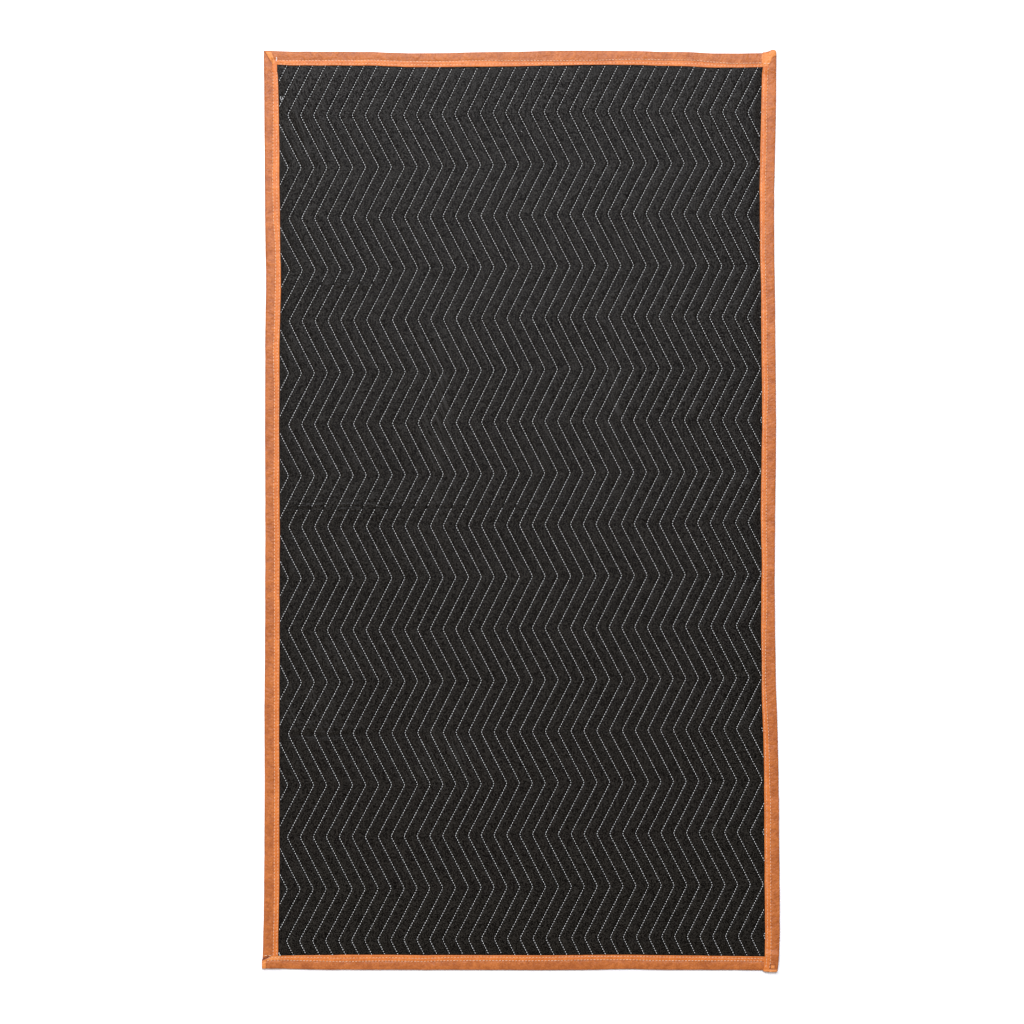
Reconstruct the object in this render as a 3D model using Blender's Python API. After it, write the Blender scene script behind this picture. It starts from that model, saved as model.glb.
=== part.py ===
"""Moving blanket: a quilted pad, 40 by 72 inches, lying flat, its edges bound with folded tape.

Metres, +Z up. The blanket lies on z = 0 with its length along Y and the first face up. The origin is
the middle of its underside. Lengths in the tables are in millimetres unless a name says otherwise.

The pad is sewn through in zigzag lines an inch apart that run down its length. Between two lines the
batting puffs up, and along a line the pad is drawn down into a channel. The outline, the rows where
the zigzags turn and the creases left by folding are as uneven as on a used blanket.
"""

import math

import bpy
import bmesh
from mathutils import Vector
from mathutils.geometry import delaunay_2d_cdt

MM = 0.001

# ---- driving sizes -------------------------------------------------------------------------------
WIDTH = 1016.0          # 40 in across, X
LENGTH = 1829.0         # 72 in down, Y
PITCH_COUNT = 40        # quilting lines to the width: one every inch
HALF_PERIOD = 102.7     # from one turning row of the zigzags to the next
FIRST_TURN_Y = 791.8    # the highest turning row, where the zigzags point left
TURN_ROWS = 17
LEFT_TURN = 1.80        # pitches from the left edge to line 0 where it points left
RIGHT_TURN = 1.875      # and, less the swing, where it points right
SWING = 2.0             # pitches that a line swings over between two turning rows
SHOULDER = 0.30         # of a pitch, from the line to where the puff is full
ROW_TILT = 7.4          # the turning rows rise this much from the left edge to the right one

CHANNEL_Z = 4.2         # top of the pad along a stitched line
CREST_Z = 7.4           # top of the pad on a puff
EDGE_LOW_Z = 2.0        # the pad is pressed to this thickness under the tape
EDGE_HIGH_Z = 4.0
PAD_INSET = 3.0         # from the tape's outer fold to the pad's cut edge
SLOPE_IN = 10.0         # beyond the tape the pad swells to its full height over this length
FLAT_IN = 8.0           # and its underside comes down to the ground over this one
CLEAR = 0.8             # of bare, pressed pad in front of the tape's inner edge

TAPE_W = 29.0           # nominal width of a folded tape that shows; each side scales it
LAP_LIFT = 2.0          # a tape that laps over another rides this much higher

# Width of the tape that shows on each side.
TAPE = {"left": 29.4, "right": 29.5, "top": 28.0, "bottom": 30.0}

# How far each edge strays outwards from the straight 40 by 72 inch rectangle.
# along = place along the edge (Y for left and right, X for top and bottom).
# left edge:   along, out
EDGE_LEFT = ((-914, 5.0), (-860, 4.2), (-776, 2.2), (-656, 1.4), (-500, 1.0), (-417, 1.4), (-258, 0.2),
             (-19, -0.2), (220, 0.2), (379, -0.6), (459, -1.8), (539, -0.6), (658, 0.6), (818, 1.6), (914, 2.6))
# right edge:  along, out
EDGE_RIGHT = ((-914, 5.4), (-880, 6.6), (-815, 7.8), (-656, 6.6), (-537, 5.4), (-417, 2.6), (-338, 0.0),
              (-140, -2.4), (20, -1.2), (140, 0.2), (379, -1.4), (539, -3.4), (618, -3.6), (698, -2.2),
              (818, 0.2), (914, 0.6))
# top edge:    along, out
EDGE_TOP = ((-508, 2.0), (-446, 0.4), (-307, -0.2), (-223, -2.8), (-168, -2.6), (-84, -1.0), (0, 0.2),
            (84, 2.2), (223, 1.6), (279, 0.0), (335, -0.6), (390, -3.4), (430, -3.4), (508, -2.0))
# bottom edge: along, out
EDGE_BOTTOM = ((-508, -2.6), (-446, -1.6), (-390, -0.2), (-110, 0.3), (56, 0.6), (167, -0.4), (212, -1.2),
               (279, -0.2), (474, 0.8), (508, 2.6))

# Creases and soft ridges left by folding: from, to, half width, rise (below zero is a trough).
#          x0    y0    x1    y1  half  rise
FOLDS = ((-462, 453, -240, 453, 9.0, -0.9),
         (-458, 2, 456, 6, 10.0, -1.4),
         (-462, -447, -345, -447, 9.0, -1.1),
         (-159, 365, -157, 75, 11.0, 1.6),
         (50, 285, 51, 60, 10.0, 1.0),
         (188, 405, 187, 60, 10.0, 1.1))

# Section of a folded tape: in from the outer fold, height, share of the lift that this point takes.
# It runs from the lower flap's inner edge, round the outer fold, to the upper flap, and back inside.
#                in    z   share
TAPE_SECTION = ((29.0, 0.0, 0.0),
                (1.4, 0.0, 0.0),
                (0.3, 1.1, 0.1),
                (0.0, 2.65, 0.5),
                (0.3, 4.2, 0.9),
                (1.4, 5.3, 1.0),
                (18.2, 5.3, 1.0),
                (18.9, 6.0, 1.0),
                (28.5, 6.0, 1.0),
                (29.0, 5.5, 1.0),
                (29.0, 4.3, 1.0),
                (2.2, 4.3, 1.0),
                (1.1, 3.3, 0.6),
                (1.1, 2.0, 0.4),
                (2.2, 1.0, 0.0),
                (18.2, 1.0, 0.0),
                (18.9, 1.7, 0.0),
                (29.0, 1.7, 0.0))

# How the end of a tape is cut and turned: in from the outer fold, how far past the edge it crosses.
#                       in   past
RIGHT_END_TOP = ((0.0, 3.0), (7.0, 6.4), (14.0, 3.6), (21.0, 1.2), (30.0, 0.6))
RIGHT_END_BOTTOM = ((0.0, 1.6), (2.5, 3.8), (18.0, 3.6), (30.0, 1.4))


# ---- outline -------------------------------------------------------------------------------------
def read_table(table, at):
    """The value at this place, on straight lines between the rows of a two-column table."""
    if at <= table[0][0]:
        return table[0][1]
    for (a, va), (b, vb) in zip(table, table[1:]):
        if at <= b:
            return va + (vb - va) * (at - a) / (b - a)
    return table[-1][1]


def left_x(y):
    return -WIDTH / 2 - read_table(EDGE_LEFT, y)


def right_x(y):
    return WIDTH / 2 + read_table(EDGE_RIGHT, y)


def top_y(x):
    return LENGTH / 2 + read_table(EDGE_TOP, x)


def bottom_y(x):
    return -LENGTH / 2 - read_table(EDGE_BOTTOM, x)


def on_side(side, along, inward):
    """The point this far in from an edge."""
    if side == "left":
        return left_x(along) + inward, along
    if side == "right":
        return right_x(along) - inward, along
    if side == "top":
        return along, top_y(along) - inward
    return along, bottom_y(along) + inward


def inside_by(x, y, extra):
    """How far a point is inside the ring that runs `extra` in from the tapes' inner edges."""
    return min((x - left_x(y) - TAPE["left"] - extra, "left"),
               (right_x(y) - x - TAPE["right"] - extra, "right"),
               (top_y(x) - y - TAPE["top"] - extra, "top"),
               (y - bottom_y(x) - TAPE["bottom"] - extra, "bottom"))


def ring(inward, crossings=()):
    """The outline `inward[side]` in from the edges, anticlockwise, with a point at each row of the
    edge tables and at each of the crossings (side, along)."""
    corner = {}
    for ends in (("left", "bottom"), ("right", "bottom"), ("right", "top"), ("left", "top")):
        x = y = 0.0
        for _ in range(12):
            x = on_side(ends[0], y, inward[ends[0]])[0]
            y = on_side(ends[1], x, inward[ends[1]])[1]
        corner[ends] = (x, y)
    lb, rb = corner["left", "bottom"], corner["right", "bottom"]
    rt, lt = corner["right", "top"], corner["left", "top"]
    loop = []
    for side, table, start, stop, axis in (("bottom", EDGE_BOTTOM, lb, rb, 0), ("right", EDGE_RIGHT, rb, rt, 1),
                                           ("top", EDGE_TOP, rt, lt, 0), ("left", EDGE_LEFT, lt, lb, 1)):
        low, high = sorted((start[axis], stop[axis]))
        places = [row[0] for row in table if low + 4 < row[0] < high - 4]
        own = [along for name, along in crossings if name == side]
        places = [p for p in places if all(abs(p - o) > 0.4 for o in own)] + own
        places.sort(reverse=stop[axis] < start[axis])
        loop.append(start)
        loop += [on_side(side, p, inward[side]) for p in places]
    return loop


# ---- the quilting --------------------------------------------------------------------------------
def turning_row(row, x):
    return FIRST_TURN_Y - HALF_PERIOD * row + ROW_TILT * x / WIDTH


def line_point(offset, row):
    """Where the line `offset` pitches from line 0 turns at this row; rows above 0 and below the last
    one are where it would turn beyond the blanket's ends."""
    share = (offset + (LEFT_TURN if row % 2 == 0 else RIGHT_TURN)) / PITCH_COUNT
    x = (share - 0.5) * WIDTH
    for _ in range(3):
        y = turning_row(row, x)
        x = left_x(y) + (right_x(y) - left_x(y)) * share
    return x, y


def phase(x, y):
    """Distance from the nearest quilting line, in pitches, 0 on a line to 0.5 midway between two."""
    row = math.floor((FIRST_TURN_Y + ROW_TILT * x / WIDTH - y) / HALF_PERIOD)
    ends = []
    for r in (row, row + 1):
        turn = LEFT_TURN if r % 2 == 0 else RIGHT_TURN + SWING
        yr = turning_row(r, x)
        wide = right_x(yr) - left_x(yr)
        ends.append((yr, left_x(yr) + wide * turn / PITCH_COUNT, wide / PITCH_COUNT))
    (y0, x0, pitch0), (y1, x1, pitch1) = ends
    part = (y0 - y) / (y0 - y1)
    lines = (x - x0 - (x1 - x0) * part) / (pitch0 + (pitch1 - pitch0) * part)
    return abs(lines - round(lines))


def fold_rise(x, y):
    """Height that the folds add here."""
    total = 0.0
    for x0, y0, x1, y1, half, rise in FOLDS:
        dx, dy = x1 - x0, y1 - y0
        long = math.hypot(dx, dy)
        t = ((x - x0) * dx + (y - y0) * dy) / long
        across = abs((x - x0) * dy - (y - y0) * dx) / long
        if -1e-6 <= t <= long + 1e-6 and across < half:
            total += rise * (1 - across / half) * min(1.0, t / 25.0, (long - t) / 25.0)
    return total


def top_z(x, y):
    inside, _ = inside_by(x, y, CLEAR)
    if inside <= 0.05:
        return EDGE_HIGH_Z
    grown = min(1.0, inside / SLOPE_IN)
    puff = min(1.0, phase(x, y) / SHOULDER)
    puff = 1 - (1 - puff) ** 1.6
    full = CHANNEL_Z + (CREST_Z - CHANNEL_Z) * puff + fold_rise(x, y)
    return EDGE_HIGH_Z + (full - EDGE_HIGH_Z) * grown


def clipped(points):
    """The parts of a polyline that lie inside the tapes, with each end on the ring there."""
    runs, run = [], []

    def cut(p, q):
        """The point on the segment from inside p to outside q where it meets the ring."""
        low, high = 0.0, 1.0
        for _ in range(60):
            mid = (low + high) / 2
            x, y = p[0] + (q[0] - p[0]) * mid, p[1] + (q[1] - p[1]) * mid
            if inside_by(x, y, CLEAR)[0] > 0:
                low = mid
            else:
                high = mid
        x, y = p[0] + (q[0] - p[0]) * low, p[1] + (q[1] - p[1]) * low
        return x, y

    for p, q in zip(points, points[1:]):
        steps = 48
        for i in range(steps):
            a = (p[0] + (q[0] - p[0]) * i / steps, p[1] + (q[1] - p[1]) * i / steps)
            b = (p[0] + (q[0] - p[0]) * (i + 1) / steps, p[1] + (q[1] - p[1]) * (i + 1) / steps)
            a_in, b_in = inside_by(*a, CLEAR)[0] > 0, inside_by(*b, CLEAR)[0] > 0
            if a_in and not run:
                run.append(a)
            if a_in and not b_in:
                run.append(cut(a, b))
                runs.append(run)
                run = []
            elif b_in and not a_in:
                run = [cut(b, a)]
        if run:
            run.append(q)
    if len(run) > 1:
        runs.append(run)
    # A run shorter than 12 mm at the tape's edge only makes slivers.
    return [r for r in runs if sum(math.dist(a, b) for a, b in zip(r, r[1:])) > 12.0]


def pad_lines():
    """The quilting lines and the shoulders beside them, each a polyline inside the tapes."""
    lines = []
    for line in range(-2, PITCH_COUNT + 1):
        for shift in (0.0, SHOULDER, 1.0 - SHOULDER):
            points = []
            for row in range(-2, TURN_ROWS + 2):
                swing = 0.0 if row % 2 == 0 else SWING
                points.append(line_point(line + shift + swing, row))
            lines += clipped(points)
    return lines


def fold_lines():
    """Each fold's middle and its two feet."""
    lines = []
    for x0, y0, x1, y1, half, _ in FOLDS:
        long = math.dist((x0, y0), (x1, y1))
        nx, ny = (y1 - y0) / long * half, -(x1 - x0) / long * half
        for k in (-1, 0, 1):
            lines.append([(x0 + nx * k, y0 + ny * k), (x1 + nx * k, y1 + ny * k)])
    return lines


def within(loop, p):
    """Whether the point is inside the loop."""
    inside = False
    for (ax, ay), (bx, by) in zip(loop, loop[1:] + loop[:1]):
        if (ay > p[1]) != (by > p[1]) and p[0] < ax + (bx - ax) * (p[1] - ay) / (by - ay):
            inside = not inside
    return inside


def triangulated(loops, lines):
    """Points and triangles of the first loop's inside, with edges along the other loops and lines."""
    points, index, edges = [], {}, []

    def number(p):
        """The number of this point, or of one within 0.02 mm of it."""
        cell = (round(p[0] / 0.02), round(p[1] / 0.02))
        for i in (-1, 0, 1):
            for j in (-1, 0, 1):
                other = index.get((cell[0] + i, cell[1] + j))
                if other is not None and math.dist(points[other], p) < 0.02:
                    return other
        index[cell] = len(points)
        points.append(Vector(p))
        return index[cell]

    outer = [number(p) for p in loops[0]]
    for loop in loops[1:]:
        ids = [number(p) for p in loop]
        edges += list(zip(ids, ids[1:] + ids[:1]))
    for line in lines:
        ids = [number(p) for p in line]
        edges += [(a, b) for a, b in zip(ids, ids[1:]) if a != b]
    edges += list(zip(outer, outer[1:] + outer[:1]))
    found = delaunay_2d_cdt(points, edges, [], 0, 1e-4, True)
    flat = [(p.x, p.y) for p in found[0]]
    kept = [tuple(f) for f in found[2]
            if within(loops[0], [sum(flat[i][k] for i in f) / 3 for k in (0, 1)])]
    return flat, kept


def material(name, colour, roughness):
    made = bpy.data.materials.new(name)
    made.use_nodes = True
    shader = made.node_tree.nodes["Principled BSDF"]
    shader.inputs["Base Color"].default_value = (*colour, 1.0)
    shader.inputs["Roughness"].default_value = roughness
    shader.inputs["Metallic"].default_value = 0.0
    return made


def add_object(name, points, faces, finish):
    """A mesh object from points in millimetres, closed, its faces turned outwards."""
    mesh = bpy.data.meshes.new(name)
    mesh.from_pydata([Vector(p) * MM for p in points], [], faces)
    shape = bmesh.new()
    shape.from_mesh(mesh)
    bmesh.ops.remove_doubles(shape, verts=shape.verts, dist=2e-6)
    bmesh.ops.recalc_face_normals(shape, faces=shape.faces)
    if shape.calc_volume(signed=True) < 0:
        bmesh.ops.reverse_faces(shape, faces=shape.faces)
    shape.to_mesh(mesh)
    shape.free()
    mesh.materials.append(finish)
    mesh.shade_smooth()
    mesh.set_sharp_from_angle(angle=math.radians(50))
    made = bpy.data.objects.new(name, mesh)
    bpy.context.scene.collection.objects.link(made)
    return made


def build_pad(finish):
    inset = {side: PAD_INSET for side in TAPE}
    at_tape = {side: wide + CLEAR for side, wide in TAPE.items()}
    swollen = {side: wide + CLEAR + SLOPE_IN for side, wide in TAPE.items()}
    flat = {side: wide + CLEAR + FLAT_IN for side, wide in TAPE.items()}
    lines = pad_lines()
    crossings = []
    for line in lines:
        for end in (line[0], line[-1]):
            distance, side = inside_by(*end, CLEAR)
            if abs(distance) < 0.01:
                crossings.append((side, end[1] if side in ("left", "right") else end[0]))
    rim = ring(inset)
    top, top_faces = triangulated([rim, ring(at_tape, crossings), ring(swollen)], lines + fold_lines())
    low, low_faces = triangulated([rim, ring(at_tape), ring(flat)], [])
    points = [(x, y, top_z(x, y)) for x, y in top]
    faces = [f for f in top_faces]
    base = len(points)
    for x, y in low:
        points.append((x, y, 0.0 if inside_by(x, y, CLEAR + FLAT_IN)[0] > -0.05 else EDGE_LOW_Z))
    faces += [tuple(base + i for i in reversed(f)) for f in low_faces]

    # The cut edge joins the two faces round the rim, whose points both of them hold.
    def at(found, start, p):
        best = min(range(len(found)), key=lambda i: math.dist(found[i], p))
        return start + best
    above = [at(top, 0, p) for p in rim]
    below = [at(low, base, p) for p in rim]
    for i in range(len(rim)):
        j = (i + 1) % len(rim)
        faces.append((above[i], below[i], below[j], above[j]))
    return add_object("quilted_pad", points, faces, finish)


# ---- the tapes -----------------------------------------------------------------------------------
def station(side, along, lift=0.0, width=1.0, end=None, sense=0):
    """The tape's section at one place along a side. `end` is a table that shapes a cut end, which
    runs past `along` in the direction `sense`."""
    points = []
    for inward, z, share in TAPE_SECTION:
        u = inward * TAPE[side] / TAPE_W * width
        place = along
        if end:
            place += sense * read_table(end, inward)
        x, y = on_side(side, along, u)
        if side in ("left", "right"):
            y = place
        else:
            x = place
        points.append((x, y, z + lift * share))
    return points


def mitre_station():
    """The tape's section on the diagonal of the top left corner."""
    points = []
    corner_y = top_y(-508.0)
    corner_x = left_x(914.0)
    for inward, z, _ in TAPE_SECTION:
        points.append((corner_x + inward * TAPE["left"] / TAPE_W, corner_y - inward * TAPE["top"] / TAPE_W, z))
    return points


def swept(name, stations, finish):
    count = len(TAPE_SECTION)
    points = [p for s in stations for p in s]
    faces = []
    for k in range(len(stations) - 1):
        for i in range(count):
            j = (i + 1) % count
            a, b = k * count, (k + 1) * count
            faces.append((a + i, a + j, b + j, b + i))
    faces.append(tuple(range(count))[::-1])
    last = (len(stations) - 1) * count
    faces.append(tuple(last + i for i in range(count)))
    return add_object(name, points, faces, finish)


def cutter(name, low, high):
    """A box that a tape's end is cut with."""
    made = bmesh.new()
    bmesh.ops.create_cube(made, size=1.0)
    for v in made.verts:
        v.co = Vector([(low[i] if v.co[i] < 0 else high[i]) * MM for i in range(3)])
    mesh = bpy.data.meshes.new(name)
    made.to_mesh(mesh)
    made.free()
    box = bpy.data.objects.new(name, mesh)
    bpy.context.scene.collection.objects.link(box)
    box.hide_render = True
    box.display_type = "WIRE"
    return box


def cut(obj, box):
    made = obj.modifiers.new(box.name, "BOOLEAN")
    made.operation = "DIFFERENCE"
    made.solver = "EXACT"
    made.object = box


def between(table, low, high):
    return [row[0] for row in table if low < row[0] < high]


def build_tapes(finish):
    lap = TAPE["right"] + 2.0          # length of an end that another tape covers
    right_in = min(right_x(y) - TAPE["right"] for y in (885.0, 914.0))
    right_in_low = min(right_x(y) - TAPE["right"] for y in (-914.0, -880.0))
    bottom_in = bottom_y(-490.0) + TAPE["bottom"]
    under = EDGE_HIGH_Z + 0.15         # below this height the covered ends are cut away

    # Left and top: one tape, mitred at the top left corner. Its ends lie under the two laps.
    stations = [station("left", bottom_y(-495.0) + 4.0)]
    stations.append(station("left", bottom_in - 1.0))
    stations += [station("left", y) for y in between(EDGE_LEFT, -870.0, 870.0)]
    stations.append(mitre_station())
    stations += [station("top", x) for x in between(EDGE_TOP, -460.0, 440.0)]
    stations.append(station("top", right_in))
    stations.append(station("top", right_x(900.0) - 4.0))
    left_top = swept("binding_left_top", stations, finish)
    cut(left_top, cutter("cut_left_end", (-600, -1000, -5), (-400, bottom_in + 0.4, under)))
    cut(left_top, cutter("cut_top_end", (right_in - 0.4, 800, -5), (600, 1000, under)))

    # Bottom: laps over the left tape's end, narrower towards its own end, and goes under the right one.
    end_x = left_x(-905.0) - 1.0
    stations = [station("bottom", end_x, LAP_LIFT, 0.72),
                station("bottom", end_x + 12.0, LAP_LIFT, 0.86),
                station("bottom", end_x + lap, LAP_LIFT),
                station("bottom", end_x + lap + 14.0)]
    stations += [station("bottom", x) for x in between(EDGE_BOTTOM, end_x + lap + 16.0, 440.0)]
    stations.append(station("bottom", right_in_low - 1.0))
    stations.append(station("bottom", right_x(-900.0) - 4.0))
    bottom = swept("binding_bottom", stations, finish)
    cut(bottom, cutter("cut_bottom_end", (right_in_low - 0.4, -1000, -5), (600, -800, under)))

    # Right: laps over the ends of the top and the bottom tape.
    stations = [station("right", bottom_y(490.0), LAP_LIFT, 1.0, RIGHT_END_BOTTOM, -1),
                station("right", bottom_y(490.0) + 5.0, LAP_LIFT),
                station("right", bottom_y(490.0) + TAPE["bottom"] + 2.0, LAP_LIFT),
                station("right", bottom_y(490.0) + TAPE["bottom"] + 16.0)]
    stations += [station("right", y) for y in between(EDGE_RIGHT, -860.0, 860.0)]
    stations += [station("right", top_y(490.0) - TAPE["top"] - 16.0),
                 station("right", top_y(490.0) - TAPE["top"] - 2.0, LAP_LIFT),
                 station("right", top_y(490.0) - 5.0, LAP_LIFT),
                 station("right", top_y(490.0), LAP_LIFT, 1.0, RIGHT_END_TOP, 1)]
    swept("binding_right", stations, finish)


def centre_on_origin():
    """Moves the whole blanket so that the middle of its underside is the origin."""
    nodes = [o for o in bpy.data.objects if not o.hide_render]
    for axis in (0, 1):
        places = [v.co[axis] for o in nodes for v in o.data.vertices]
        shift = Vector((0.0, 0.0, 0.0))
        shift[axis] = -(min(places) + max(places)) / 2
        for o in bpy.data.objects:
            for v in o.data.vertices:
                v.co += shift


def main():
    for old in list(bpy.data.objects):
        bpy.data.objects.remove(old, do_unlink=True)
    bpy.context.scene.unit_settings.system = "METRIC"
    bpy.context.scene.unit_settings.scale_length = 1.0
    black = material("quilted_cloth", (0.020, 0.019, 0.018), 0.9)
    orange = material("tape_cloth", (0.63, 0.20, 0.07), 0.8)
    build_pad(black)
    build_tapes(orange)
    centre_on_origin()


main()
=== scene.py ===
"""The looks of the quilted moving blanket: the pad's sewn surface, its threads, the folded tape round
its edges, the light and the camera.

Lengths in this file are in millimetres until to_row() turns them into metres of the shared frame.
x runs across the blanket, y up its length, z out of the face that shows. On a tape, u is how far in
from the outer fold a point lies and v how far along the side.
"""

import math

import bpy
import numpy as np
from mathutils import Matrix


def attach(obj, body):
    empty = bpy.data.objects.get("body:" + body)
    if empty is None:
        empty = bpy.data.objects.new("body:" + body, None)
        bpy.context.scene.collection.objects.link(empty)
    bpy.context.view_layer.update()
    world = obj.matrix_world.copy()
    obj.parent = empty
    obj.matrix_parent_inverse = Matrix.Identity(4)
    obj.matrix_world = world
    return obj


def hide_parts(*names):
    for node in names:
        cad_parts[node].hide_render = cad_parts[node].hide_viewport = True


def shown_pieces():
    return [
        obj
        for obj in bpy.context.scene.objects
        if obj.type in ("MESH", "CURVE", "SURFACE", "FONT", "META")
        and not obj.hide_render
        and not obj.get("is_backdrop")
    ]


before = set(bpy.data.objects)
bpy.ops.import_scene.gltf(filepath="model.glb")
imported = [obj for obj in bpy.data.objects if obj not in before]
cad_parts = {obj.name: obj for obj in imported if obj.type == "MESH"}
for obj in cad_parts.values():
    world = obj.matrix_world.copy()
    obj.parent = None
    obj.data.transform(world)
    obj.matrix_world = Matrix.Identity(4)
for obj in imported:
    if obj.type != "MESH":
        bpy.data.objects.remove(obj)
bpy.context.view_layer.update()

MM = 0.001
SHIFT = (-0.9667, 1.5052)      # the tables' middle to the blanket's own middle

# ---- sizes shared with the solids ----------------------------------------------------------------
WIDTH = 1016.0
LENGTH = 1829.0
LINES = 40                     # pitches to the width
HALF_PERIOD = 102.7
FIRST_TURN_Y = 791.8
LEFT_TURN = 1.8135
SWING = 2.048
ROW_TILT = 7.4
ROUND = 0.035                  # a turn is rounded over this share of a half period
SEAM_Z = 5.3                   # the cloth at a line, the narrow dip beside it and the crown between lines
DIP = 0.60
CROWN_RISE = 0.55
EDGE_LOW_Z = 2.0
EDGE_HIGH_Z = 4.0
PAD_INSET = 3.0
STITCHES = 22                  # to a half period of the zigzag
LAP_LIFT = 2.0

# How far each edge strays outwards from the rectangle: along, out.
EDGE_LEFT = ((-914, 5.0), (-860, 4.2), (-776, 2.2), (-656, 1.4), (-500, 1.0), (-417, 1.4), (-258, 0.2),
             (-19, -0.2), (220, 0.2), (379, -0.6), (459, -1.8), (539, -0.6), (658, 0.6), (818, 1.6), (914, 2.6))
EDGE_RIGHT = ((-916, 3.2), (-898, 5.4), (-880, 6.6), (-815, 7.8), (-656, 6.6), (-537, 5.4), (-417, 2.6), (-338, 0.0),
              (-140, -2.4), (20, -1.2), (140, 0.2), (379, -1.4), (539, -3.4), (618, -3.6), (698, -2.2),
              (818, 0.2), (914, 0.6))
EDGE_TOP = ((-508, 2.0), (-446, 0.4), (-307, -0.2), (-223, -2.8), (-168, -2.6), (-84, -1.0), (0, 0.2),
            (84, 2.2), (223, 1.6), (279, 0.0), (335, -0.6), (390, -3.4), (430, -3.4), (508, -2.0))
EDGE_BOTTOM = ((-508, -2.6), (-446, -1.6), (-390, -0.2), (-110, 0.3), (56, 0.6), (167, -0.4), (212, -1.2),
               (279, -0.2), (474, 0.8), (508, 2.6))

# The tapes' folds stand this much further out than the quilting's own edges.
OUT = {"left": 1.05, "right": 1.15, "top": 0.9}

# Across each tape: along, width, outer row of stitches, inner row, all measured in from the outer fold.
LAYOUT = {
    "left": ((-885, 30.9, 20.9, 28.0), (-806, 30.1, 20.9, 27.6), (-736, 30.6, 20.7, 27.8), (-666, 30.2, 19.8, 26.8),
             (-597, 29.6, 20.2, 27.2), (-527, 29.6, 19.9, 27.2), (-457, 29.4, 20.0, 27.1), (-387, 29.9, 20.0, 27.2),
             (-318, 29.4, 19.0, 26.6), (-248, 29.4, 19.1, 26.5), (-178, 29.1, 18.8, 26.0), (-109, 29.1, 18.8, 26.1),
             (-39, 29.4, 18.7, 25.6), (31, 28.6, 17.3, 24.2), (101, 28.6, 18.4, 26.3), (170, 28.4, 18.9, 26.7),
             (240, 28.9, 19.0, 26.7), (310, 28.6, 16.8, 24.1), (379, 29.4, 18.7, 27.2), (449, 29.9, 19.0, 26.9),
             (519, 29.6, 20.3, 28.4), (589, 29.9, 17.0, 24.3), (658, 29.2, 16.0, 23.9), (728, 29.6, 17.0, 24.2),
             (798, 29.2, 18.4, 26.3), (868, 27.8, 18.3, 25.8), (886, 26.6, 17.6, 25.4)),
    "right": ((-875, 29.0, 17.1, 24.9), (-806, 29.7, 18.2, 24.9), (-736, 30.0, 18.0, 25.4), (-666, 29.6, 18.0, 25.6),
              (-597, 29.7, 17.2, 24.7), (-527, 28.8, 18.1, 25.4), (-457, 28.8, 18.2, 25.3), (-387, 29.3, 20.4, 26.2),
              (-318, 27.8, 21.0, 26.2), (-248, 27.9, 19.0, 25.2), (-178, 27.1, 16.0, 23.0), (-109, 26.1, 15.8, 22.3),
              (-39, 28.1, 17.9, 25.1), (31, 28.9, 18.4, 25.5), (101, 28.8, 18.6, 25.8), (170, 27.9, 18.8, 25.4),
              (240, 27.7, 15.8, 22.9), (310, 28.0, 17.4, 24.1), (379, 28.1, 17.0, 24.0), (449, 27.6, 18.1, 24.9),
              (519, 28.5, 18.7, 25.9), (589, 28.5, 18.0, 25.5), (658, 29.2, 18.2, 25.8), (728, 29.7, 17.6, 24.6),
              (798, 29.6, 19.0, 26.2), (868, 28.5, 17.2, 24.3), (886, 26.6, 16.2, 23.8)),
    "top": ((-484, 28.2, 18.9, 26.1), (-418, 28.1, 18.2, 25.1), (-349, 28.1, 17.9, 24.9), (-279, 27.6, 16.9, 23.6),
            (-209, 28.2, 17.2, 23.2), (-139, 28.4, 17.6, 23.6), (-70, 29.6, 17.2, 24.2), (0, 29.4, 17.9, 24.2),
            (70, 29.8, 20.1, 26.6), (139, 28.8, 19.8, 25.8), (209, 28.4, 17.4, 24.2), (279, 28.4, 16.4, 23.4),
            (349, 29.1, 16.4, 22.8), (418, 28.6, 20.1, 25.8)),
    "bottom": ((-479, 26.2, 17.8, 22.9), (-418, 28.8, 17.8, 24.6), (-349, 30.1, 17.1, 23.7),
               (-279, 30.3, 18.1, 24.7), (-209, 29.8, 17.5, 23.7), (-139, 29.8, 18.9, 25.0), (-70, 29.9, 19.7, 26.2),
               (0, 30.0, 19.1, 25.3), (70, 29.9, 19.7, 26.1), (139, 30.0, 20.5, 27.1), (209, 29.0, 19.4, 25.9),
               (279, 29.3, 18.9, 25.9), (349, 29.0, 19.0, 25.6), (418, 28.0, 18.9, 24.0))}

# How far the turning rows and the lines stray, by row (down) and by place across (x).
STRAY_ROWS = tuple(range(17))
STRAY_X = (-460, -230, 0, 230, 460)
ROW_STRAY = ((-0.1, -2.0, 2.5, 3.9, -1.3),
             (-2.1, -1.8, 1.8, 2.6, -1.0),
             (-0.6, 0.7, 3.0, 4.2, 0.7),
             (-0.8, 1.1, 3.8, 4.2, 1.1),
             (0.6, 1.9, 3.8, 4.8, 1.8),
             (-0.6, 1.1, 3.4, 4.1, 2.4),
             (-0.3, 1.0, 2.7, 3.4, 2.2),
             (0.5, 1.3, 2.4, 3.0, 2.8),
             (1.3, 1.0, 2.0, 2.2, 3.4),
             (1.3, 1.2, 2.0, 2.5, 3.5),
             (0.7, 0.8, 1.3, 1.9, 3.7),
             (-0.9, 0.4, 1.0, 1.3, 2.5),
             (0.1, 0.3, 0.8, 2.2, 3.8),
             (0.4, -0.5, 1.1, 1.8, 3.2),
             (-0.5, -0.2, 1.5, 2.1, 2.8),
             (-1.8, -1.1, -0.1, 0.9, 1.5),
             (-2.2, -0.8, 0.0, 1.1, 1.3))
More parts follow.
